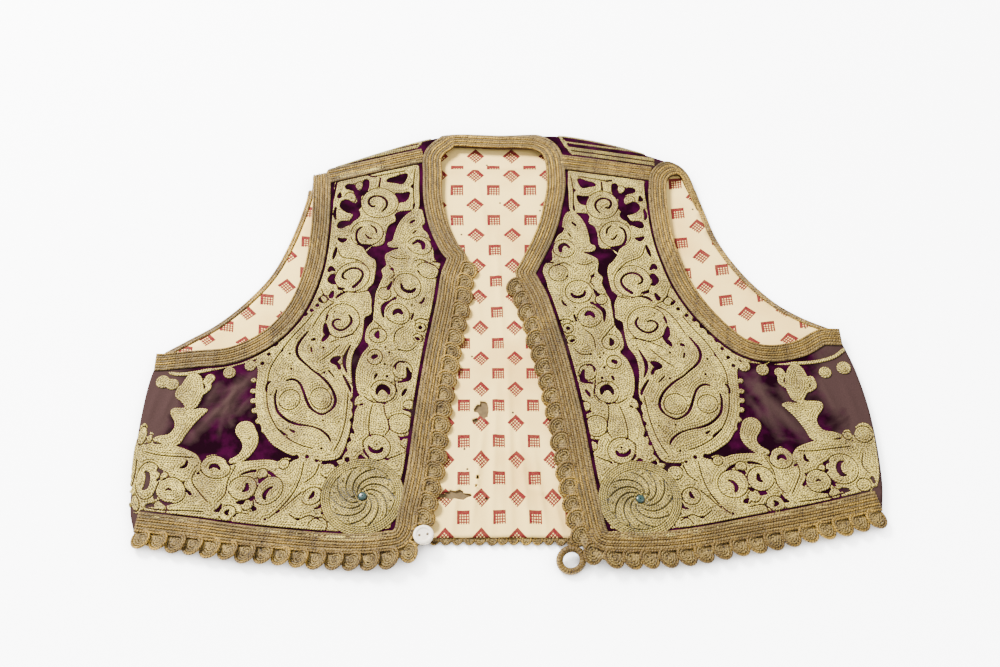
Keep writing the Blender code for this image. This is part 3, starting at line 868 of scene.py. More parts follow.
@dataclass
class Studio:
    """The pale table, the lamps and the camera."""

    camera_place: tuple[float, float, float] = (-0.005, -0.5522, 0.96505)
    camera_tilt: float = math.radians(30)
    lens_mm: float = 50.0
    floor_size: float = 40.0
    # The table is a lit light box, so that it stays near white under soft shadows. Within 50 mm of the
    # cloth its glow is dimmed, as a painted shadow round and under the cloth.
    table_glow: float = 5.6
    covered_glow: float = 0.04
    cover_reach: float = 0.05
    sky: float = 1.1
    lights: tuple[Light, ...] = (
        Light("window", (-1.1, 1.1, 1.5), 0.7, 190.0), Light("fill", (1.3, -0.3, 1.6), 1.4, 14.0))

    def build(self) -> None:
        """Makes the table, lamps, camera and sky."""
        camera = bpy.data.cameras.new("camera")
        camera.lens = self.lens_mm
        camera.sensor_width = 36.0
        holder = bpy.data.objects.new("camera", camera)
        holder.location = self.camera_place
        holder.rotation_euler = Euler((self.camera_tilt, 0, 0))
        bpy.context.scene.collection.objects.link(holder)
        bpy.context.scene.camera = holder
        bpy.ops.mesh.primitive_grid_add(x_subdivisions=8, y_subdivisions=8, size=self.floor_size)
        floor = bpy.context.object
        floor.name = "table"
        floor.location = (0, 0, -0.0002)
        # Calendered paper: an even, matt white.
        paper = PlainFinish("white_paper", "fbfbfc", "f7f7f9", 0.9, 2.0, 500.0, 0.00002)
        table = paper.material()
        tree = table.node_tree
        # Painted shadow: the table's glow falls to a small share where the cloth is near.
        painted_shadow = add_node(tree, "AmbientOcclusion", {"Distance": self.cover_reach}, samples=8)
        dimmed = add_node(
            tree, "MapRange", {"Value": painted_shadow.outputs["AO"], "From Min": 0.35, "From Max": 1.0,
                               "To Min": self.covered_glow * self.table_glow, "To Max": self.table_glow})
        feed(tree.nodes["Principled BSDF"], {"Emission Color": srgb("ffffff"), "Emission Strength": dimmed})
        floor.data.materials.append(table)
        for light in self.lights:
            lamp = bpy.data.lights.new(light.name, "AREA")
            lamp.shape = "DISK"
            lamp.size = light.size
            lamp.energy = light.power
            stand = bpy.data.objects.new(light.name, lamp)
            stand.location = light.place
            stand.rotation_euler = (-Vector(light.place)).to_track_quat("-Z", "Y").to_euler()
            bpy.context.scene.collection.objects.link(stand)
        world = bpy.data.worlds.new("studio")
        bpy.context.scene.world = world
        world.use_nodes = True
        sky = world.node_tree.nodes["Background"]
        feed(sky, {"Color": srgb("ffffff"), "Strength": self.sky})


def front_outline(tables: Sequence[Table], step: float) -> np.ndarray:
    """A front's closed outline at even steps, with its corners kept."""
    return np.vstack([resampled(smooth_curve(table), step)[:-1] for table in tables])


@dataclass(frozen=True)
class FrontCut:
    """How one front is cut, all round it, and where its trims go."""

    side: Side
    hem: Table
    flank: Table
    armhole: Table
    shoulder: Table
    neck: Table
    edge: Table
    # Lowest and highest x and y: of the part without embroidery, and of all the embroidery.
    bare: tuple[float, float, float, float]
    worked: tuple[float, float, float, float]
    rosette: tuple[float, float]
    # Two points that round the front corner off.
    corner: Table
    # The x at which the rows on the yoke meet the neck.
    yoke: float

    @property
    def tables(self) -> tuple[Table, ...]:
        """The outline's parts in order."""
        return self.hem, self.flank, self.armhole, self.shoulder, self.neck, self.edge


RIGHT_CUT = FrontCut(
    Side.RIGHT, RIGHT_HEM, RIGHT_SIDE, RIGHT_ARMHOLE, RIGHT_SHOULDER, RIGHT_NECK, RIGHT_EDGE,
    (-284.0, 50.0, -186.0, 158.0), (-286.0, -14.0, -34.0, 344.0), (-102.5, 32.0), ((-70, -8.5), (-62.5, 2)),
    -71.0)
LEFT_CUT = FrontCut(
    Side.LEFT, LEFT_HEM, LEFT_SIDE, LEFT_ARMHOLE, LEFT_SHOULDER, LEFT_NECK, LEFT_EDGE,
    (184.0, 50.0, 288.0, 176.0), (34.0, -8.0, 292.0, 336.0), (104.5, 30.0), ((73, -10.5), (64.5, -1)), 62.0)


@dataclass
class VelvetFront:
    """One velvet front, with the creases of its bare part."""

    cut: FrontCut
    grid: float = 4.0
    fine_grid: float = 1.7
    # How worn its pile is along the side seam, how strong the painted highlight is on the creases, and how
    # far round them.
    seam_wear: float = 0.62
    seam_reach: float = 26.0
    crease_wear: float = 0.42
    crease_rise: float = 1.3
    crease_spread: float = 1.9

    def build(self, material: Material) -> Object:
        """Makes the velvet and gives it its wall.

        Args:
            material: Finish of the velvet.

        Returns:
            The piece.
        """
        outline = front_outline(self.cut.tables, 3.0)
        coarse = grid_points(outline.min(axis=0), outline.max(axis=0), self.grid)
        x0, y0, x1, y1 = self.cut.bare
        in_bare = ((coarse[:, 0] > x0) & (coarse[:, 0] < x1) & (coarse[:, 1] > y0) & (coarse[:, 1] < y1))
        inner = np.vstack([coarse[~in_bare], grid_points((x0, y0), (x1, y1), self.fine_grid)])
        points, faces = filled(outline, well_inside(outline, inner, 1.0))
        made = Mesh()
        made.add(FORM.upper(points, FORM.velvet / 2), faces, points * 0.1)
        word = self.cut.side.word
        piece = made.build(f"front_{word}_velvet", material, Slot.VELVET, [f"front_{word}"])
        # Painted highlight: the pile turns grey-mauve along broadened creases, where it would catch the
        # light.
        wide = [(*crease[:5], self.crease_spread * crease[5]) for crease in (*CREASES_LEFT, *CREASES_RIGHT)]
        rise = FORM.creases(points[:, 0], points[:, 1], wide) / self.crease_rise
        seam = distance_to_line(smooth_curve(self.cut.flank), points) / self.seam_reach
        wear(piece, self.seam_wear * np.exp(-seam**2) + self.crease_wear * np.sqrt(rise))
        thicken(piece, FORM.velvet)
        return piece


@dataclass
class Back:
    """The velvet back, inside which the printed lining shows."""

    grid: float = 7.0
    # How many times longer the fold is drawn while its triangles are made.
    fold_times: float = 3.0
    wear: float = 0.1

    def outline(self) -> np.ndarray:
        """The back's outline from above, where y beyond the fold is measured round it.

        Returns:
            Its points in order.
        """
        length = FORM.fold_length

        def over(line: np.ndarray) -> np.ndarray:
            """A line of the back, where it is once the cloth is opened out flat."""
            start = FORM.fold_start(line[:, 0])
            return np.stack([line[:, 0], 2 * start + length - line[:, 1]], axis=1)

        hem, left, left_arm, right_arm, right = (
            over(smooth_curve(table))
            for table in (BACK_HEM, LEFT_SIDE, BACK_LEFT_ARMHOLE, BACK_RIGHT_ARMHOLE, RIGHT_SIDE))
        left_turn = [(154, FORM.fold_start(154) + length / 2), (142, FORM.fold_start(142))]
        right_turn = [(-158, FORM.fold_start(-158)), (-160, FORM.fold_start(-160) + length / 2)]
        # Each stretch of the outline, and the distance between its points.
        spans = ((hem, 5.0), (left, 5.0), (np.vstack([left_arm, left_turn, LEFT_SHOULDER[:1]]), 1.5),
                 (smooth_curve(LEFT_SHOULDER), 3.0), (smooth_curve(BACK_NECK), 2.0),
                 (smooth_curve(RIGHT_SHOULDER[::-1]), 3.0),
                 (np.vstack([RIGHT_SHOULDER[:1], right_turn, right_arm[::-1]]), 1.5), (right[::-1], 5.0))
        return np.vstack([resampled(line, step)[:-1] for line, step in spans])

    def build_velvet(self, material: Material) -> Object:
        """Makes the velvet back with its turned-over top.

        Args:
            material: Finish of the velvet.

        Returns:
            The piece.
        """
        outline = self.outline()
        flat = grid_points(outline.min(axis=0), outline.max(axis=0), self.grid)
        into = flat[:, 1] - FORM.fold_start(flat[:, 0])
        flat = flat[(into < -1) | (into > FORM.fold_length + 3)]
        xs = np.arange(-165, 168, 4.0)
        rows = [np.stack([xs, FORM.fold_start(xs) + t], axis=1)
                for t in np.linspace(0, FORM.fold_length, 10)]
        inner = well_inside(outline, np.vstack([flat, *rows]), 0.9)
        points, faces = filled(self.stretched(outline), self.stretched(inner))
        points = self.relaxed(points)
        made = Mesh()
        made.add(FORM.upper(points, FORM.velvet / 2), faces, points * 0.1)
        piece = made.build("back_velvet", material, Slot.VELVET, ["back"])
        wear(piece, np.full(len(points), self.wear))
        thicken(piece, FORM.velvet)
        return piece

    def stretched(self, points: np.ndarray) -> np.ndarray:
        """The fold drawn out, so that triangles there join one row to the next."""
        into = points[:, 1] - FORM.fold_start(points[:, 0])
        more = (self.fold_times - 1) * np.clip(into, 0, FORM.fold_length)
        return np.stack([points[:, 0], into + more], axis=1)

    def relaxed(self, points: np.ndarray) -> np.ndarray:
        """The opposite of stretched()."""
        drawn = np.clip(points[:, 1], 0, self.fold_times * FORM.fold_length)
        into = points[:, 1] - (1 - 1 / self.fold_times) * drawn
        return np.stack([points[:, 0], FORM.fold_start(points[:, 0]) + into], axis=1)


@dataclass(frozen=True)
class Shape:
    """One shape of the embroidery: a stroke of x, y, half-width rows, or a closed outline of x, y."""

    rows: Table

    @property
    def is_outline(self) -> bool:
        """Whether its rows have no half-width."""
        return len(self.rows[0]) == 2

    def curve(self) -> np.ndarray:
        """The smooth line, closed for an outline.

        Returns:
            Its points in order.
        """
        if not self.is_outline:
            return smooth_curve(self.rows, 1.2)
        knots = np.array(self.rows, float)
        around = np.vstack([knots[-2:], knots, knots[:3]])
        curve = smooth_curve(around, 1.2)
        first = int(np.argmin(np.linalg.norm(curve - knots[0], axis=1)))
        last = len(curve) - 1 - int(np.argmin(np.linalg.norm(curve[::-1] - knots[0], axis=1)))
        return np.vstack([curve[first:last], curve[first:first + 1]])

    def depth(self, points: np.ndarray) -> np.ndarray:
        """How far inside the shape each point is, negative outside it.

        Args:
            points: The points that are measured.

        Returns:
            One depth for each point.
        """
        curve = self.curve()
        if self.is_outline:
            away = distance_to_line(curve[:, :2], points)
            return np.where(inside(curve[:-1, :2], points), away, -away)
        if len(curve) == 1:
            return curve[0, 2] - np.linalg.norm(points - curve[0, :2], axis=1)
        best = np.full(len(points), -1e9)
        for a, b in zip(curve, curve[1:]):
            t, away = from_span(points, a[:2], b[:2])
            best = np.maximum(best, a[2] + t * (b[2] - a[2]) - away)
        return best


@dataclass
class Plate:
    """A patch of laid cord: rows of cord that follow the edges of a drawn area, row inside row."""

    low: tuple[float, float]
    high: tuple[float, float]
    cell: float = 0.5
    # The real cord is about 1.2 mm thick. It is drawn coarser, so that the rows show.
    pitch: float = 1.8
    dome: float = 0.9
    dome_reach: float = 3.0
    base: float = 1.2

    def __post_init__(self) -> None:
        """Lays out the cells, all of them outside the area as yet."""
        self.columns = int((self.high[0] - self.low[0]) / self.cell) + 1
        self.lines = int((self.high[1] - self.low[1]) / self.cell) + 1
        self.area = np.full((self.lines, self.columns), -9.0)

    def cells(self, shape: Shape) -> tuple[tuple[slice, slice], np.ndarray]:
        """The cells round a shape, and how far inside it each of them is.

        Args:
            shape: The shape.

        Returns:
            Their rows and columns, and their depths.
        """
        rows = np.array(shape.rows, float)
        margin = 4 + (rows[:, 2].max() if rows.shape[1] > 2 else 0)
        low = ((rows[:, :2].min(axis=0) - margin - self.low) / self.cell).astype(int)
        high = ((rows[:, :2].max(axis=0) + margin - self.low) / self.cell).astype(int) + 2
        low = np.maximum(low, 0)
        xs = slice(low[0], min(high[0], self.columns))
        ys = slice(low[1], min(high[1], self.lines))
        grid = np.meshgrid(np.arange(xs.start, xs.stop), np.arange(ys.start, ys.stop))
        places = np.stack([g.ravel() for g in grid], axis=1) * self.cell + self.low
        return (ys, xs), shape.depth(places).reshape(grid[0].shape)

    def add(self, shape: Shape) -> None:
        """Joins a shape to the area."""
        at, depth = self.cells(shape)
        self.area[at] = np.maximum(self.area[at], depth)

    def cut(self, shape: Shape, wider: float = 0.0) -> None:
        """Takes a shape out of the area, so many millimetres wider all round than it is drawn."""
        at, depth = self.cells(shape)
        self.area[at] = np.minimum(self.area[at], -(depth + wider))

    def part(self, rows: Table, half: float = 0.42) -> None:
        """Opens a narrow gap along a line, drawn in to nothing at its ends.

        Args:
            rows: The line.
            half: Half the gap's width.
        """
        line = smooth_curve([row[:2] for row in rows], 1.0)
        width = np.full(len(line), half)
        width[:2] = width[-2:] = 0.3 * half
        self.cut(Shape(np.column_stack([line, width])))

    def settle(self) -> None:
        """Works out how far each place is from the nearest edge."""
        self.area[[0, -1], :] = -9
        self.area[:, [0, -1]] = -9
        marks = np.vstack([resampled(line, 0.4) for line in self.contours(self.area, 0.0)])
        tree = KDTree(len(marks))
        for number, mark in enumerate(marks):
            tree.insert((mark[0], mark[1], 0.0), number)
        tree.balance()
        self.depth = np.full(self.area.shape, -0.5)
        for row, column in np.argwhere(self.area > 0):
            x, y = column * self.cell + self.low[0], row * self.cell + self.low[1]
            self.depth[row, column] = tree.find((x, y, 0.0))[2]

    def contours(self, grid: np.ndarray, level: float) -> list[np.ndarray]:
        """Closed lines round the places where a grid is above a level, those places on their left.

        Args:
            grid: Values on the plate's cells.
            level: The value along the lines.

        Returns:
            One array of x, y for each line, its first point repeated at the end.
        """
        value = grid - level
        value[value == 0] = 1e-9
        above = value > 0
        a, b, c, d = above[:-1, :-1], above[:-1, 1:], above[1:, 1:], above[1:, :-1]
        code = a + 2 * b + 4 * c + 8 * d
        rows, columns = np.nonzero((code > 0) & (code < 15))
        kinds = code[rows, columns]
        corner = rows * self.columns + columns
        sides = np.stack(
            [2 * corner, 2 * (corner + 1) + 1, 2 * (corner + self.columns), 2 * corner + 1], axis=1)
        turns = {1: [(0, 3)], 2: [(1, 0)], 3: [(1, 3)], 4: [(2, 1)], 5: [(0, 3), (2, 1)], 6: [(2, 0)],
                 7: [(2, 3)], 8: [(3, 2)], 9: [(0, 2)], 10: [(1, 0), (3, 2)], 11: [(1, 2)], 12: [(3, 1)],
                 13: [(0, 1)], 14: [(3, 0)]}
        following: dict[int, int] = {}
        for kind, pairs in turns.items():
            chosen = sides[kinds == kind]
            for first, last in pairs:
                following.update(zip(chosen[:, first].tolist(), chosen[:, last].tolist()))
        flat = value.ravel()
        lines = []
        while following:
            start, place = following.popitem()
            chain = [start]
            while place != start:
                chain.append(place)
                place = following.pop(place)
            edge = np.array(chain)
            cell, upright = edge // 2, edge % 2
            other = cell + np.where(upright == 1, self.columns, 1)
            share = flat[cell] / (flat[cell] - flat[other])
            x = cell % self.columns + np.where(upright == 1, 0, share)
            y = cell // self.columns + np.where(upright == 1, share, 0)
            line = np.stack([x, y], axis=1) * self.cell + self.low
            lines.append(closed_up(line))
        return lines

    def read(self, grid: np.ndarray, points: np.ndarray) -> np.ndarray:
        """Values of a grid at points, between its cells.

        Args:
            grid: Values on the cells.
            points: Places to read it at.

        Returns:
            One value for each place.
        """
        at = (points - self.low) / self.cell
        column = np.clip(at[:, 0].astype(int), 0, self.columns - 2)
        row = np.clip(at[:, 1].astype(int), 0, self.lines - 2)
        s, t = at[:, 0] - column, at[:, 1] - row
        return ((1 - s) * (1 - t) * grid[row, column] + s * (1 - t) * grid[row, column + 1]
                + (1 - s) * t * grid[row + 1, column] + s * t * grid[row + 1, column + 1])

    def rise(self, depth: Any) -> Any:
        """Padding under the cord, by distance from an edge."""
        return self.base + self.dome * (1 - np.exp(-np.maximum(depth, 0) / self.dome_reach))

    def lay(self, cords: Mesh, ground: Mesh) -> None:
        """Lays the rows of cord and the padded ground below them.

        Args:
            cords: The mesh that takes the cords.
            ground: The mesh that takes the ground.
        """
        self.settle()
        level = self.pitch / 2
        while level < self.depth.max():
            for line in self.contours(self.depth.copy(), level):
                if np.linalg.norm(np.diff(line, axis=0), axis=1).sum() < 2.2:
                    continue
                smooth = line[:-1]
                for _ in range(3):
                    smooth = (2 * smooth + np.roll(smooth, 1, axis=0) + np.roll(smooth, -1, axis=0)) / 4
                ring = resampled(closed_up(smooth), 1.6)
                if len(ring) < 4:
                    ring = resampled(closed_up(smooth), 0.7)
                lay_cord(cords, ring, self.rise(level) - 0.1, 0.52 * self.pitch, 0.5 * self.pitch,
                         closed=True)
            level += self.pitch
        rings = [resampled(line, 1.3)[:-1] for line in self.contours(self.area.copy(), 0.15)]
        rings = [ring for ring in rings if len(ring) > 4]
        inner = grid_points(self.low, self.high, 2.4)
        inner = inner[self.read(self.area, inner) > 1.0]
        places, faces = triangulated(rings, inner)
        faces = faces[self.read(self.area, places[faces].mean(axis=1)) > 0.05]
        lift = self.rise(self.read(self.depth, places)) + 0.15
        lanes = np.stack([places @ (1.0, 0.6), np.full(len(places), 0.5)], axis=1)
        ground.add(FORM.upper(places, lift), faces, lanes)


def lay_cord(mesh: Mesh, line: np.ndarray, lift: Any, half: Any, height: float, closed: bool = False,
             form: Callable = FORM.upper, skirt: float = 0.0) -> None:
    """Lays a half-round cord on a surface.

    Args:
        mesh: The mesh that takes it.
        line: Its middle line, seen from above.
        lift: Height of its underside over the middle of the velvet.
        half: Half its width, or one value for each point.
        height: Its height.
        closed: Whether its last point is its first one again.
        form: The shape that it lies on.
        skirt: How far its sides go on down below its underside.
    """
    left, ends = sideways(line, closed), np.ones(len(line))
    if not closed:
        ends[[0, -1]] = 0.0
    lift = np.broadcast_to(np.asarray(lift, float), (len(line),))
    half = np.broadcast_to(np.asarray(half, float), (len(line),))[:, None]
    # Its map runs across it from 0 to 1, so the cord finishes paint shade at its sides.
    profile = [(1, 0, 0.0), (0.5, 0.87, 0.3), (-0.5, 0.87, 0.7), (-1, 0, 1.0)]
    if skirt:
        profile = [(1, -skirt / height, 0.0), *profile, (-1, -skirt / height, 1.0)]
    run = along(line)
    spots, lifts, maps = [], [], []
    for across, up, v in profile:
        spots.append(line[:, :2] + left * half * across)
        lifts.append(lift + height * up * (ends if up > 0 else 1))
        maps.append(np.stack([run, np.full(len(run), v)], axis=1))
    grid = form(np.vstack(spots), np.concatenate(lifts)).reshape(len(profile), len(line), 3)
    mesh.sheet(grid.transpose(1, 0, 2), np.stack(maps, axis=1))


def lay_tube(mesh: Mesh, line: np.ndarray, lift: Any, radius: float, sides: int = 6,
             form: Callable = FORM.upper, flat: float = 1.0) -> None:
    """Lays a round or flattened cord, its ends drawn in.

    Args:
        mesh: The mesh that takes it.
        line: Its middle line, seen from above.
        lift: Height of its middle over the middle of the velvet.
        radius: Its radius.
        sides: Faces round it.
        form: The shape that it lies on.
        flat: Its height as a share of its width.
    """
    left, size = sideways(line), np.full(len(line), radius)
    size[[0, -1]] *= 0.3
    lift = np.broadcast_to(np.asarray(lift, float), (len(line),))
    spots, lifts, maps = [], [], []
    run = along(line)
    for number in range(sides):
        angle = 2 * math.pi * number / sides
        spots.append(line[:, :2] + left * (size * math.cos(angle))[:, None])
        lifts.append(lift + flat * size * math.sin(angle))
        # Its map is 0.1 and 0.9 at its sides, where the cord finishes paint some shade.
        maps.append(np.stack([run, np.full(len(run), 0.5 - 0.4 * math.cos(angle))], axis=1))
    grid = form(np.vstack(spots), np.concatenate(lifts)).reshape(sides, len(line), 3)
    mesh.sheet(grid.transpose(1, 0, 2), np.stack(maps, axis=1), closed=True)


# The embroidery of the left front. Rows of two, x and y, are an outline, and rows of three, with
# half the width there, are a stroke.
LEFT_AREAS: tuple[Table, ...] = (
    ((57, 291), (53, 284), (52, 277), (50, 270), (46, 263), (43, 252), (43, 243), (38, 240), (35, 232),
     (38, 222), (40, 210), (44, 190), (47, 178), (50, 166), (52, 158), (54, 148), (57, 130), (60, 114),
     (63, 100), (65, 85), (68, 70), (69, 58), (71, 46), (73, 36), (95, 40), (119, 58), (118, 66), (115, 76),
     (112, 84), (110, 92), (108, 100), (107, 110), (104, 117), (105, 125), (105, 135), (103, 143),
     (100, 150), (95, 156), (98, 160), (98, 167), (96, 174), (92, 180), (91, 190), (90, 197), (89, 205),
     (86, 212), (83, 220), (84, 226), (80, 231), (81, 240), (79, 246), (72, 250), (78, 252), (79, 257),
     (75, 259), (74, 266), (72, 276), (69, 283), (64, 289)),
    ((58, 333), (67, 334), (80, 332), (95, 329.5), (112, 326.5), (123, 323), (124.5, 312), (124, 300),
     (125, 285), (127, 270), (129, 256), (132, 243), (137, 228), (143, 214), (150, 202), (158, 192),
     (166, 182), (173, 172), (179, 163), (184, 154), (189, 146), (186, 138), (186, 120), (185, 105),
     (182, 92), (176, 80), (168, 73), (158, 67), (146, 62), (133, 60), (123, 62), (117, 73), (113, 85),
     (110, 98), (109, 110), (108, 122), (109, 132), (109, 143), (107, 152), (102, 160), (100, 168),
     (99, 177), (98, 184), (93, 187), (92, 195), (93, 203), (95, 209), (91, 213), (89, 222), (88, 232),
     (90, 240), (95, 248), (93, 254), (86, 254), (82, 257), (81, 268), (79, 276), (74, 280), (75, 286),
     (73, 289), (66, 290), (59, 292), (58, 310)),
    ((70, 60), (95, 58), (120, 60), (128, 58), (134, 59), (142, 61), (150, 65), (157, 64), (161, 66),
     (166, 67), (170, 65), (176, 67), (184, 68), (196, 68), (205, 66), (207, 71), (213, 74), (219, 72),
     (222, 68), (226, 73), (238, 78), (250, 80), (260, 80), (263, 87), (268, 88), (270, 84), (273, 91),
     (279, 94), (285, 90), (286, 80), (286, 60), (285, 48), (281, 38), (276, 36), (265, 33), (257, 29),
     (250, 25), (240, 23), (225, 21), (215, 18), (200, 15), (180, 11), (160, 6), (140, 1), (125, -2),
     (105, -3), (90, -2), (83, 0), (80, 10), (76, 25), (72, 40)),
    ((193, 91, 7.6), (190, 83, 6.4), (192, 76, 4.5), (197, 71, 3.4), (203, 69, 2.2)),
    ((232, 138, 7), (232, 128, 9.5), (231, 118, 6)),
    ((218, 110), (224, 112), (230, 111), (233, 114), (238, 113), (243, 113), (249, 112), (250, 107),
     (245, 100), (244, 94), (248, 88), (257, 86), (262, 82), (240, 79), (234, 88), (228, 98), (222, 105)),
    ((221, 136, 3), (219, 130, 2.2), (222, 126, 1.6)), ((243, 132, 3), (245, 126, 2.2), (241, 122, 1.6)),
    ((181, 155, 1.4), (192, 149, 1.5), (205, 147, 1.4), (225, 146, 1.4), (245, 147, 1.4), (262, 151, 1.4),
     (272, 158, 1.4)), ((192, 143, 4.6),), ((206, 140, 5),), ((219, 138, 4),), ((255, 138, 5),),
    ((270, 142, 5.6),),
    *(((x, y, 2.3),) for x, y in (
          (188, 130), (188, 121), (187.5, 113), (186.5, 105), (184, 96.5), (180, 89), (174, 82),
          (168, 76.5), (161, 71.5), (153, 68))))
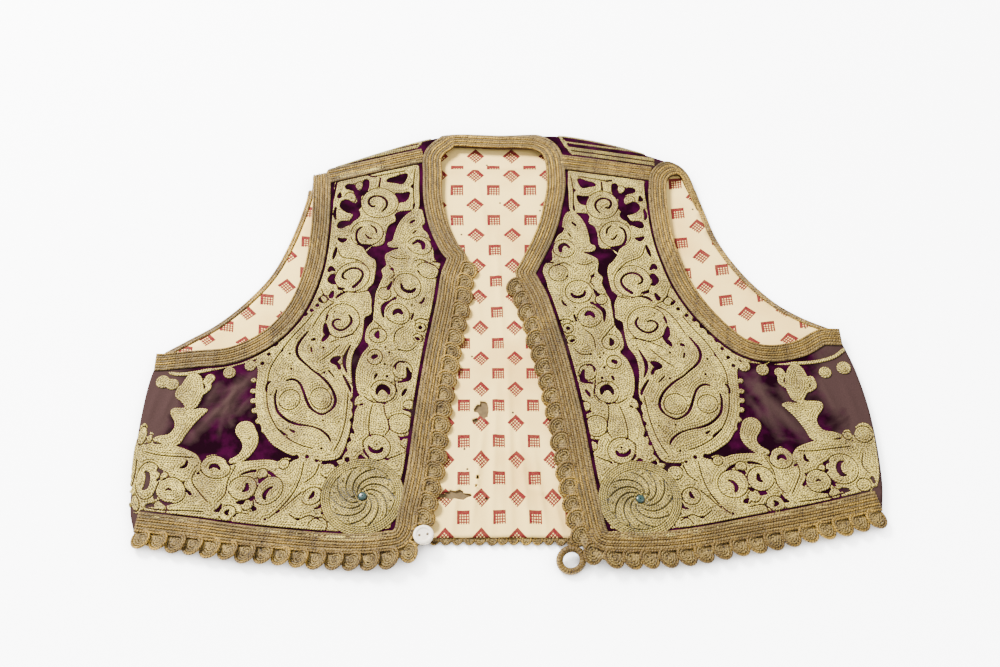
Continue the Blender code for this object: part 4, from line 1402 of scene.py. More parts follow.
LEFT_CUTS: tuple[Table, ...] = (
    # Near the shoulder.
    ((66, 323), (70, 323), (74, 321), (80, 319), (81, 316), (75, 315), (70, 314), (67, 318)),
    ((65, 307), (70, 306), (75, 306), (73, 302), (72, 298), (69, 298), (66, 301)),
    ((97, 316, 2.6), (97, 311, 2.6), (99, 307, 2.2), (102, 305, 2.4), (105, 308, 1.6), (109, 311, 3.0),
     (112, 311, 2.5)),
    ((102, 304, 2.0), (101.5, 299, 1.4), (103, 294, 3.2), (107, 294, 3.0), (112, 296, 3.8), (114, 294, 3.5),
     (110, 290, 2.5), (106, 290, 2.8), (103, 287, 2.6), (105, 284, 2.4), (107, 282, 1.5), (110, 278, 1.5)),
    ((112, 279, 2.0), (116, 277.5, 3.4), (118, 276, 2)),
    ((113, 264, 1.0), (116, 263, 2.0), (119, 265, 1.0)), ((118, 305, 0.8), (118.5, 302, 2.0)),
    ((63, 312, 1.2),), ((62, 296, 0.8), (62.5, 292, 0.5)), ((86, 320, 0.4), (86.5, 312, 0.6)),
    ((90, 320.5, 0.7), (95, 321.5, 0.4)), ((121, 292, 0.8), (122, 286, 1.2), (121, 282, 0.6)),
    ((123, 318, 0.7), (123, 308, 0.6), (124, 296, 0.5), (125, 284, 0.6), (127, 270, 0.7),
     (128.5, 262, 0.4)), ((121, 257, 0.5), (122.5, 251, 1.3), (124, 246, 0.5)),
    ((123, 233, 0.7), (126, 237, 1.8), (128, 234, 1.0)),
    ((125, 227, 2.3), (127, 223, 2.6), (125, 219, 1.5)), ((120, 212, 1.2), (115, 211, 0.6)),
    ((126, 210, 1.0), (128, 206, 2.0)), ((113, 208, 0.4), (119, 206.5, 1.0), (123, 203.5, 0.5)),
    ((141, 203, 1.0), (139, 201, 1.2)),
    ((84, 289.5, 0.4), (80.7, 294, 0.7), (80.5, 299, 0.8), (84, 303, 0.7), (89, 303.5, 0.6), (93, 301, 0.7),
     (93.5, 297, 0.7), (91, 294, 0.7), (88.5, 295, 0.4)),
    ((93, 255, 0.8), (97, 255, 1.8), (101, 257, 0.8), (104, 262, 0.8), (104.6, 268, 0.7), (103, 273, 0.7),
     (99.5, 275.5, 0.4)), ((93, 277, 0.3), (89.5, 273.5, 0.6), (88.7, 269, 0.5)),
    ((92, 263.5, 0.4), (94.5, 263.5, 0.5), (97.5, 268, 0.4)),
    ((97, 253, 1.2), (96, 248, 0.6), (93, 243, 0.6), (90, 240, 0.8)),
    ((107, 211, 1.2), (102, 215, 1.0), (99, 220, 0.8), (99, 224, 0.7), (102, 228, 0.7), (107, 230, 0.7),
     (112, 229, 0.7), (116, 225, 0.7), (115.5, 221, 0.6), (112, 219, 0.4)),
    ((111, 188, 0.5), (109, 184.5, 0.7), (109, 181, 0.8), (112, 177, 0.7), (117, 174, 0.7), (122, 175, 0.7),
     (126, 179, 0.7), (125.5, 183, 0.6), (121, 185.3, 0.5), (118, 184, 0.4)),
    ((131.5, 188, 0.5), (133.5, 183, 0.5)), ((124.5, 191.5, 0.7),),
    # The dark points between the paisley and the border beside the armhole.
    *(((x, y, 1.5),) for x, y in (
          (143.5, 196), (150, 190), (155.5, 185.5), (161, 179.5), (166.5, 173.5), (172, 166.5), (176, 159),
          (180, 151), (183.5, 143.5))),
    # The long slits of the paisley.
    ((150.5, 170, 0.4), (154, 165, 0.7), (157, 160, 0.9), (158.5, 154, 1.0), (157, 148, 0.9),
     (154, 144, 0.8), (149, 139.5, 0.6), (143, 134, 0.5), (137, 130, 0.7), (130, 123.5, 0.8),
     (125.5, 117, 0.8), (123.5, 110, 0.9), (125, 104.5, 0.9), (128.5, 100.5, 0.5), (135, 97, 0.6),
     (140, 98.5, 0.6), (145, 102.5, 0.9), (148, 108, 0.9), (150.5, 116, 0.8), (153, 122, 0.7),
     (156, 125.5, 0.7), (160, 127, 0.7), (164, 126, 0.4)),
    ((171, 119, 0.4), (172, 114, 0.6), (171.5, 107, 0.7), (170, 102, 0.8), (166, 97, 0.9), (161, 93, 0.9),
     (154, 90, 0.7), (149, 89, 0.4), (142, 87, 0.4), (136, 84, 0.6), (131, 79, 0.7), (129.5, 75, 0.3)),
    ((134, 178, 1.4), (133, 172, 2.4), (131, 169, 1.2), (134, 165, 1.8), (136, 162, 0.8)),
    ((119.5, 147, 1.0), (123, 145, 2.5), (126, 143, 1.6), (121, 140.5, 1.1), (119.5, 137, 1.2)),
    ((144, 163, 1.3), (146, 162, 0.8)), ((134.5, 155.5, 0.9),), ((146, 155, 0.5), (145, 151, 0.5)),
    ((163.5, 149.5, 0.9),), ((170, 153, 0.8),), ((161, 136, 0.9),), ((158, 85, 0.9), (161, 87, 0.4)),
    ((176, 127, 0.6), (178.5, 124, 0.5), (179, 120, 0.3)), ((135, 92, 0.7),), ((122, 91, 0.6),),
    ((137, 70, 0.9),), ((133, 132.5, 0.9),), ((163, 83, 0.3), (170, 88.5, 0.4)),
    ((124, 129, 0.3), (129, 134.5, 0.4)),
    ((110, 158, 0.4), (113, 152, 0.8), (115, 146, 1.4), (115, 140, 1.0), (113, 134, 0.4)),
    ((116, 131, 0.6), (113, 126, 0.9), (110.5, 121, 0.9), (110, 118, 0.4)), ((159, 111, 0.5),),
    # The column beside the front edge.
    ((60.5, 280, 0.8), (63, 277.5, 0.9)), ((50, 271, 1.8), (52, 274, 1.5)),
    ((57, 269, 0.5), (59, 266, 0.4)),
    ((50, 251.5, 1.3), (50, 256, 1.7), (54, 258.5, 1.2), (57.5, 255, 0.8)),
    ((70, 250.3, 0.6), (75, 249, 1.0), (79, 247, 1.6)), ((38, 241, 0.8), (44, 240, 0.5)), ((55, 227, 0.8),),
    ((75, 227, 1.0), (77, 227, 0.5)),
    ((58, 210, 0.9), (60, 207.5, 1.3), (64, 207, 1.3), (68, 209, 1.1), (69, 213, 0.6)),
    ((76, 215, 0.4), (78, 211, 1.2), (79.5, 208.5, 0.9)),
    ((74, 201.5, 1.3), (77, 200, 0.6), (81, 197, 1.4), (83.5, 194, 1.6), (84, 189, 1.0), (83.5, 184, 0.4)),
    ((50, 204, 0.4), (52, 199.8, 0.9), (54, 199, 0.5)), ((60.5, 197, 0.7),),
    ((59.5, 190, 0.5), (60.5, 187, 0.8), (61.5, 184, 0.3)),
    ((69, 190, 1.2), (71, 192.2, 1.8), (74, 191, 1.8), (75.5, 188, 0.8)),
    ((92, 196, 0.5), (91.5, 189, 0.7)), ((54.5, 177.5, 1.6),), ((57, 166, 1.3), (59, 167, 0.7)),
    ((88, 168, 0.9), (89, 165, 2), (88, 162.5, 1.1)), ((72, 154, 0.8),), ((82, 155, 0.7),),
    ((79, 151, 0.8),), ((89, 148, 1.4), (91, 147, 1.8)), ((82, 142, 0.9),),
    ((74, 138.5, 0.4), (74, 142, 0.5), (71.5, 144.7, 0.5), (68, 143.8, 0.3)),
    ((66, 140, 0.6), (64.5, 135, 1.8), (65, 131, 1.9), (69, 129, 0.8), (72, 128.5, 0.8)), ((80, 133, 1.0),),
    ((88, 134, 1.0), (89.5, 131, 0.4)),
    ((79, 119, 0.9), (80, 123, 2.0), (84, 125, 2.2), (87, 122, 1.6), (88, 118.5, 0.6)),
    ((67, 122, 0.8), (69, 119, 1.2), (70, 116.5, 0.4)), ((60.5, 112, 1.8),),
    ((63, 101.5, 1.6), (66, 102, 0.8), (71, 104, 0.4)), ((104, 116, 1.3), (106, 115, 0.7)),
    ((109, 111, 1.6),), ((106, 106, 0.7), (109, 102, 1.4)), ((111, 93, 1.6),),
    ((112, 85, 1.3), (110.5, 82, 0.8)), ((114.5, 76, 1.6),), ((117.5, 67.5, 1.3),), ((117, 60, 1.9),),
    ((66, 80, 1.5), (72, 79, 0.5), (76, 79.5, 0.3)), ((74, 77.5, 0.9),), ((92.5, 72.5, 0.7),),
    ((84.5, 60, 0.9),),
    ((88.5, 69.5, 0.9), (90, 66.7, 1.3), (95, 66.2, 1.3), (98, 68.5, 1.2), (99, 71, 0.5)),
    ((103.5, 60.5, 1.0), (106, 62, 1.7)), ((101, 108, 0.8), (103, 107, 0.4)),
    # Along the hem.
    ((124, 51, 0.5), (125, 56, 1.0), (128, 58.3, 1.2), (133, 58.5, 1.1), (137, 58.5, 0.5)),
    ((141, 61, 1.1),), ((148, 65, 1.5),), ((156, 66, 1.7), (160, 64, 0.8)),
    ((132.5, 38, 0.7), (133, 33, 1.0), (135, 27, 1.0), (137, 23.5, 0.6), (140, 23, 0.4)), ((134, 19, 0.8),),
    ((142.3, 36, 0.8), (143, 33, 1.3), (145, 31.5, 0.5)), ((145, 7, 0.8),),
    ((151, 6, 0.8), (155, 8.5, 1.9), (159, 8, 0.7)), ((150, 16, 1.0),),
    ((171.5, 46, 0.4), (175, 44.5, 1.0), (177.5, 40, 1.4), (176, 36.5, 0.7)),
    ((171, 54, 0.6), (175, 57, 1.1), (177, 58.5, 0.5)), ((173, 19, 0.9),), ((181, 54, 0.8), (184, 52, 1.3)),
    ((188, 60.5, 1.0), (193, 60, 0.7), (198, 58.5, 0.3)),
    ((194.5, 50.5, 1.0), (194.3, 46.5, 1.4), (197, 44.7, 0.6)), ((187.5, 39, 1.0), (189, 37, 0.7)),
    ((184, 30, 1.1), (182, 28.5, 0.9), (186, 27.5, 0.6)), ((195, 35, 1.3), (199, 35.3, 1.0)),
    ((204, 29, 0.4), (206.5, 27, 1.3), (204, 24.7, 0.4)),
    ((210, 34, 0.4), (212, 29.5, 1.3), (215, 28.5, 0.6)),
    ((182, 12.5, 1.2), (186, 12.5, 1.0), (192, 13.8, 0.4)), ((218, 19.5, 1.6), (222, 19.5, 1.8)),
    ((228, 22.5, 0.5), (235, 21.5, 1.0), (243, 22.5, 0.4)), ((223, 58, 1.0),),
    ((231, 66.5, 0.7), (231.3, 62.7, 1.1), (234, 61.3, 0.5)),
    ((210.3, 63, 0.7), (212, 65.5, 1.3), (215, 65.5, 1.3), (216.4, 63, 0.7)),
    ((229.5, 45.5, 0.4), (227.5, 41.5, 1.0)), ((245, 60, 0.8), (248, 61, 1.3)), ((247, 54, 1.0),),
    ((230, 51, 0.7),), ((237, 44.5, 0.3), (239, 46.3, 0.5), (241, 45, 0.3)),
    ((241, 36, 0.7), (245, 36.5, 1.2), (247, 39, 0.6)), ((250.5, 42, 1.3), (249.3, 46, 0.5)),
    ((260, 61.5, 0.4), (256.5, 60, 1.3), (255.5, 55, 1.8), (257.5, 50.5, 1.5), (261, 50, 0.4)),
    ((256, 38, 1.5), (260, 38.5, 1.0)), ((280, 48, 1.2), (281, 44, 0.8)), ((281, 38, 2.2), (285, 38, 2.6)),
    ((269, 79, 0.8),))
# Lines that the rows of cord turn along, though no velvet shows there.
LEFT_SEAMS: tuple[Table, ...] = (
    [(60, 328), (62, 312), (62, 294)], [(66, 326), (80, 323), (95, 320)], [(62, 240), (70, 238), (78, 242)],
    [(44, 236), (52, 240), (60, 236)], [(78, 232), (74, 222), (78, 216)], [(46, 184), (54, 186), (60, 182)],
    [(66, 178), (74, 170), (76, 158)], [(58, 160), (64, 154), (72, 154)], [(92, 181), (86, 174), (82, 168)],
    [(75, 133), (74, 120), (80, 112), (92, 111), (100, 116)], [(84, 110), (84, 100), (82, 88), (86, 80)],
    [(92, 110), (96, 98), (98, 84), (96, 78)], [(72, 66), (80, 62), (88, 60)],
    [(104, 76), (102, 66), (98, 61)], [(96, 232), (104, 240), (116, 246), (120, 256)],
    [(92, 208), (104, 206), (113, 208)], [(126, 200), (134, 206), (138, 216)],
    [(124, 200), (134, 194), (142, 184), (148, 172)], [(104, 168), (112, 168), (122, 164), (130, 160)],
    [(118, 160), (128, 150), (138, 142)],
    [(146, 190), (154, 178), (163, 166), (171, 152), (177, 138), (178, 122), (177, 106), (172, 92),
     (164, 82), (154, 75), (142, 70)], [(112, 118), (114, 104), (117, 90), (122, 76), (128, 66)],
    [(150, 62), (152, 50), (156, 38), (164, 26), (172, 18)], [(138, 60), (142, 50), (150, 44)],
    [(132, 12), (142, 18), (150, 16), (158, 22)], [(150, 38), (158, 30), (166, 22)],
    [(200, 66), (206, 54), (208, 42), (214, 34)], [(224, 62), (226, 52), (222, 42), (218, 34)],
    [(226, 70), (238, 70), (252, 72), (268, 74)], [(184, 24), (196, 26), (204, 20)],
    [(222, 28), (236, 30), (250, 33), (264, 38)], [(276, 70), (274, 58), (280, 50)])
RINGS = (
    (86, 297, 13.5), (96, 268, 13), (102, 312, 4), (109, 301, 5), (108, 222, 15), (118, 182, 16),
    (53, 254, 9), (64, 212, 11), (72, 188, 9.5), (54.5, 177.5, 4.5), (57, 167, 4), (88, 165, 7),
    (90, 147, 6), (69, 138, 7), (83, 120, 10), (66, 108, 4.5), (74, 91, 9), (70, 74, 4.5), (93, 70, 11),
    (82, 205, 5), (48, 230, 8), (136, 110, 9), (161, 110, 8), (136, 203, 4), (175, 43, 11.5), (196, 47, 10),
    (213, 64, 9), (239, 45, 9.5), (258, 55, 12.5), (278, 84, 7), (165, 62, 4), (182, 57, 4.5), (132, 52, 6),
    (143, 33, 7), (136, 9, 7), (205, 26, 7), (190, 33, 5), (250, 35, 4.5), (273, 42, 5.5), (266, 83, 3.5),
    (243, 56, 3))
# Places on the left front and the places on the right one that match them.
TWINS = (
    (148, 110, -150, 115), (119, 182, -128, 183), (108, 222, -121, 228), (93, 270, -107, 270),
    (87, 297, -103, 298), (52, 257, -66, 260), (63, 212, -74, 218), (71, 192, -81, 194),
    (88, 165, -97, 172), (83, 122, -91, 122), (92, 70, -93, 73), (104.5, 30, -102.5, 32),
    (143, 35, -140, 35), (173, 42, -172, 36), (195, 48, -190, 40), (213, 65, -215, 57), (232, 65, -238, 60),
    (238, 45, -247, 38), (260, 57, -268, 47), (192, 84, -193, 80), (232, 130, -240, 122),
    (124, 320, -139, 324), (272, 158, -262, 142), (286, 84, -277, 84), (58, 332, -70, 339),
    (41, 200, -52, 200), (53.5, 150, -60, 152), (63.5, 100, -66, 102), (70.5, 50, -71, 52),
    (125.5, 295, -142, 297), (135, 236, -146, 232), (157, 191, -157, 196), (235, 151, -240, 142),
    (205, 148, -210, 146), (90, 4, -88, 4), (150, 8, -150, 6), (190, 16, -190, 10), (235, 25, -230, 16),
    (284, 38, -276, 21), (57, 290, -66, 292), (40, 240, -50, 240))


@dataclass
class Embroidery:
    """The laid cord of one front."""

    cut: FrontCut
    rosette_radius: float = 31.3
    # How much wider each cut is than it is drawn, and half the width of the lines and rings.
    wider: float = 0.2
    seam_half: float = 0.34
    ring_half: float = 0.27
    # The side seam is kept clear by discs beside it, 1 mm inside it at their nearest.
    flank_out: float = 9.0
    flank_radius: float = 8.0

    def placed(self, rows: Table) -> np.ndarray:
        """Rows of the left front's drawing, where this front has them.

        Args:
            rows: Rows of the drawing.

        Returns:
            The same rows, moved.
        """
        table = np.array(rows, float)
        if self.cut.side is Side.LEFT:
            return table
        pairs = np.array(TWINS, float)
        marks = pairs[:, :2]

        def terms(points: np.ndarray) -> np.ndarray:
            """What a thin plate's bend at points is made of."""
            gap = np.linalg.norm(points[:, None] - marks[None], axis=2) + 1e-9
            return np.hstack([gap**2 * np.log(gap), np.ones((len(points), 1)), points])

        closing = np.hstack([terms(marks)[:, len(marks):].T, np.zeros((3, 3))])
        system = np.vstack([terms(marks), closing])
        fit = np.linalg.solve(system, np.vstack([pairs[:, 2:], np.zeros((3, 2))]))
        return np.hstack([terms(table[:, :2]) @ fit, table[:, 2:]])

    def build(self, gold: Material) -> list[Object]:
        """Makes the cords and their padded ground.

        Args:
            gold: Finish of both.

        Returns:
            The two pieces.
        """
        cut, inward = self.cut, self.cut.side.value
        plate = Plate(cut.worked[:2], cut.worked[2:])
        for rows in LEFT_AREAS:
            plate.add(Shape(self.placed(rows)))
        for rows in LEFT_CUTS:
            plate.cut(Shape(self.placed(rows)), self.wider)
        plate.cut(Shape(((*cut.rosette, self.rosette_radius),)))
        # Beside each braid, how far inside the outline bare velvet shows, and half its width.
        borders = ((cut.edge, 17.0, 1.3), (cut.neck, 16.6, 1.0), (cut.hem, 16.4, 0.8),
                   (cut.armhole, 15.6, 0.9), (cut.shoulder, 7.6, 0.6))
        for table, distance, half in borders:
            row = offset_line(smooth_curve(table), inward * distance)[::5]
            plate.cut(Shape(np.column_stack([row, np.full(len(row), half)])))
        for x, y in smooth_curve(cut.flank)[::6]:
            plate.cut(Shape(((x + inward * self.flank_out, y, self.flank_radius),)))
        for rows in LEFT_SEAMS:
            plate.part(self.placed(rows), self.seam_half)
        for x, y, radius in RINGS:
            plate.part(self.placed((x, y) + radius * circle(25)), self.ring_half)
        cords, ground = Mesh(), Mesh()
        plate.lay(cords, ground)
        top = cords.build(f"embroidery_{cut.side.word}", gold, Slot.BRAID)
        pad = ground.build(f"embroidery_ground_{cut.side.word}", gold, Slot.BRAID)
        thicken(pad, 0.9)
        return [top, pad]


@dataclass
class Rosette:
    """A raised whirl of cord with a bead in its middle."""

    cut: FrontCut
    arms: int = 10
    whirl_radius: float = 24.6
    swirl: float = 2.0
    arm_start: float = 4.0
    gap_half: float = 0.46
    rings: int = 4
    ring_pitch: float = 1.6
    rim_radius: float = 30.8
    bead_radius: float = 3.2
    bead_rise: float = 1.2

    def build(self, gold: Material, glass: Material) -> list[Object]:
        """Makes the whirl, its rings, its ground and its bead.

        Args:
            gold: Finish of the cord and its ground.
            glass: Finish of the bead.

        Returns:
            The three pieces.
        """
        centre, word = np.array(self.cut.rosette), self.cut.side.word
        size = self.rim_radius + 0.7
        plate = Plate(tuple(centre - size), tuple(centre + size), base=1.5, dome=1.7, dome_reach=2.2)
        plate.add(Shape(((*centre, self.whirl_radius),)))
        plate.cut(Shape(((*centre, self.bead_radius + 0.6),)))
        for arm in range(self.arms):
            t = np.linspace(0, 1, 14)
            reach = self.arm_start + (self.whirl_radius - self.arm_start) * t
            swing = 2 * math.pi * arm / self.arms + self.cut.side.value * self.swirl * t**0.8
            way = np.stack([reach * np.cos(swing), reach * np.sin(swing)], axis=1)
            plate.part(centre + way, self.gap_half)
        cords, ground = Mesh(), Mesh()
        plate.lay(cords, ground)
        around = circle(90)
        for number in range(self.rings):
            ring = centre + around * (self.whirl_radius + 1.0 + self.ring_pitch * number)
            lay_cord(cords, ring, 1.7 - 0.12 * number, 0.85, 0.9, closed=True)
        rim = centre + around[:-1] * self.rim_radius
        inner = np.vstack([centre + around[:-1] * r for r in (26.5, 29)])
        places, faces = filled(rim, inner)
        ground.add(FORM.upper(places, 1.5), faces, np.full((len(places), 2), 0.5))
        top = cords.build(f"rosette_{word}", gold, Slot.BRAID)
        pad = ground.build(f"rosette_ground_{word}", gold, Slot.BRAID)
        thicken(pad, 1.0)
        bead = Mesh()
        tilt = np.linspace(0, math.pi, 17)
        reach = 0.5 + (self.bead_radius - 0.5) * np.sin(tilt) ** 0.8
        grid = centre + reach[:, None, None] * circle(33)[:-1]
        lifts = np.repeat(2 * self.bead_rise - self.bead_rise * np.cos(tilt), grid.shape[1])
        points = FORM.upper(grid.reshape(-1, 2), lifts).reshape(*grid.shape[:2], 3)
        bead.sheet(points, np.zeros(grid.shape), closed=True)
        return [top, pad, bead.build(f"bead_{word}", glass, Slot.BRAID)]


def parallel(line: np.ndarray, distance: float) -> np.ndarray:
    """A line moved to its left, cut where it would cross itself in a corner."""
    moved = offset_line(line, distance)
    return resampled(moved[distance_to_line(line[:, :2], moved) > abs(distance) - 0.08], 1.3)


@dataclass
class Braid:
    """A flat braid sewn along an edge: ribs of gimp with brighter gilt cords between them."""

    name: str
    nodes: tuple[str, ...]
    line: np.ndarray
    inward: int
    width: float
    # One letter for each rib from the edge inward.
    ribs: str = "gsgsgss"
    over: float = 0.4
    base: float = 1.0
    tip: tuple[tuple[float, float], ...] = ()

    def rib(self, across: float) -> np.ndarray:
        """The middle line of the rib that is so far from the edge.

        Args:
            across: Distance from the edge.

        Returns:
            Its points in order.
        """
        line = parallel(self.line, self.inward * across)
        if self.tip:
            end = [(x - self.inward * across, y) for x, y in self.tip]
            line = resampled(np.vstack([line, end]), 1.3)
        return line

    def build(self, gilt: Material, gimp: Material) -> list[Object]:
        """Makes the ribs in their two finishes.

        Args:
            gilt: Finish of the bright cords.
            gimp: Finish of the duller ribs.

        Returns:
            The two pieces.
        """
        bright, dull = Mesh(), Mesh()
        kinds = [Rib(letter) for letter in self.ribs]
        share = np.array([0.8 if kind is Rib.GILT else 1.1 for kind in kinds])
        marks = np.concatenate([[0], np.cumsum(share)]) / share.sum()
        marks = -self.over + (self.width + self.over) * marks
        for kind, near, far in zip(kinds, marks, marks[1:]):
            rise, height, mesh = (0.85, 0.9, bright) if kind is Rib.GILT else (0.7, 0.75, dull)
            lift = self.base + rise
            lay_cord(mesh, self.rib((near + far) / 2), lift, 0.53 * (far - near), height, skirt=lift - 0.7)
        return [bright.build(f"{self.name}_gilt", gilt, Slot.BRAID, self.nodes),
                dull.build(f"{self.name}_gimp", gimp, Slot.BRAID)]


@dataclass
class Coils:
    """A row of curls of ribbed braid along an edge, each one lapping over its neighbour."""

    name: str
    nodes: tuple[str, ...]
    line: np.ndarray
    outward: int
    radius: float = 8.4
    spacing: float = 13.0
    rib: float = 1.75
    reach: float = 4.6
    lift: float = 1.5
    tilt: float = 0.24
    tape_lift: float = 0.4
    form: Callable = FORM.upper

    def build(self, gilt: Material, silk: Material) -> list[Object]:
        """Makes the curls, each one a dished spiral with a bright rim.

        Args:
            gilt: Finish of the rims.
            silk: Finish of the turns inside them.

        Returns:
            The two pieces.
        """
        rims, cores = Mesh(), Mesh()
        line = self.line[:, :2]
        run = along(line)
        count = max(2, int(round(run[-1] / self.spacing)))
        left = sideways(line)
        side, forward = left * self.outward, np.stack([left[:, 1], -left[:, 0]], axis=1)
        rng = np.random.default_rng(len(self.name) * 7 + count)
        for number in range(count):
            at = int(np.argmin(np.abs(run - run[-1] * (number + 0.5) / count)))
            size = self.radius * (1 + rng.uniform(-0.05, 0.05)) - self.rib / 2
            centre = line[at] + side[at] * (self.reach + rng.uniform(-0.3, 0.3))
            turns = (size - 0.5 * self.rib) / self.rib
            t = np.linspace(0, turns, int(18 * turns))
            swing = rng.uniform(-0.3, 0.3) - 1.9 - 2 * math.pi * t
            # Each curl is an oval that leans along the edge.
            wide = size - self.rib * t
            local = np.stack([wide * np.cos(swing + 0.25), 1.12 * wide * np.sin(swing)], axis=1)
            spots = centre + local[:, :1] * forward[at] + local[:, 1:] * side[at]
            lift = self.lift + self.tilt * local[:, 0] - 0.3 * t
            first = t < 1.1
            lay_tube(rims, spots[first], lift[first], 0.66 * self.rib, form=self.form)
            lay_tube(cores, spots[~first], lift[~first], 0.58 * self.rib, form=self.form)
        tape = resampled(line + side * 0.6 * self.reach, 1.5)
        lay_tube(cores, tape, self.tape_lift, 0.45 * self.radius, 8, form=self.form, flat=0.16)
        return [rims.build(f"{self.name}_rims", gilt, Slot.SCALLOP, self.nodes),
                cores.build(f"{self.name}_turns", silk, Slot.SCALLOP)]


@dataclass
class Yoke:
    """The rows of cord on the turned-over shoulder, bent up beside the neck braid."""

    cut: FrontCut
    rows: tuple[float, ...] = (10.4, 12.0, 15.0, 16.6, 22.0)
    row_step: float = 1.7
    rise: float = 15.0
    lean: float = 7.0

    def build(self, gold: Material) -> Object:
        """Makes the rows, each one ending where it runs out over the fold.

        Args:
            gold: Finish of the cords.

        Returns:
            The piece.
        """
        made = Mesh()
        (arm_x, arm_y), (neck_x, neck_y) = self.cut.shoulder
        slope = (neck_y - arm_y) / (neck_x - arm_x)
        way = self.cut.side.value
        for number, out in enumerate(self.rows):
            corner = self.cut.yoke - way * self.row_step * number
            xs = np.linspace(arm_x - way * 8, corner, 60)
            row = np.stack([xs, arm_y + slope * (xs - arm_x) + out], axis=1)
            top = row[-1] + (-way * self.lean, self.rise)
            self.lay(made, row)
            self.lay(made, resampled(np.vstack([row[-1:], [top]]), 1.0))
        xs = np.linspace(arm_x - way * 22, self.cut.yoke - way * 12, 80)
        self.lay(made, np.stack([xs, FORM.fold_start(xs) + 2.6], axis=1))
        return made.build(f"yoke_cords_{self.cut.side.word}", gold, Slot.BRAID)

    @staticmethod
    def lay(mesh: Mesh, row: np.ndarray) -> None:
        """Lays the part of a row that hasn't passed the top of the fold.

        Args:
            mesh: The mesh that takes it.
            row: The row.
        """
        row = row[row[:, 1] < FORM.fold_start(row[:, 0]) + 0.42 * FORM.fold_length]
        if len(row) > 4:
            lay_cord(mesh, row, 1.0, 0.85, 1.0, skirt=0.3)


@dataclass
class ArmholeTurn:
    """The left armhole braid's end, turned over the shoulder and drawn in to the back's edging."""

    # Columns x, y and height over the table.
    inner: tuple[tuple[float, float, float], ...] = (
        (140.2, 311, 9.6), (141.2, 320, 9.6), (145, 326.5, 9.4), (151, 329, 8.6), (155.4, 327, 7.2),
        (158.4, 318, 5.2), (162.5, 305, 3.8), (166.0, 294, 3.0))
    outer: tuple[tuple[float, float, float], ...] = (
        (125.6, 312, 9.8), (128, 329, 9.8), (139, 341, 9.6), (151, 338.5, 8.8), (159.4, 330, 7.4),
        (164.2, 318, 5.4), (167.6, 305, 4.0), (171.0, 294, 3.0))
    ribs: str = "gsgsgss"
    points: int = 48

    def build(self, gilt: Material, gimp: Material) -> list[Object]:
        """Makes the ribs between the two lines.

        Args:
            gilt: Finish of the bright cords.
            gimp: Finish of the duller ribs.

        Returns:
            The two pieces.
        """
        inner, outer = (evened(smooth_curve(table), self.points) for table in (self.inner, self.outer))
        width = np.linalg.norm(outer[:, :2] - inner[:, :2], axis=1)
        bright, dull = Mesh(), Mesh()
        for number, letter in enumerate(self.ribs):
            path = inner + (outer - inner) * (number + 0.5) / len(self.ribs)
            lay_cord(bright if Rib(letter) is Rib.GILT else dull, path, path[:, 2],
                     0.55 * width / len(self.ribs), 0.9, form=level, skirt=2.4)
        return [bright.build("armhole_turn_gilt", gilt, Slot.BRAID),
                dull.build("armhole_turn_gimp", gimp, Slot.BRAID)]


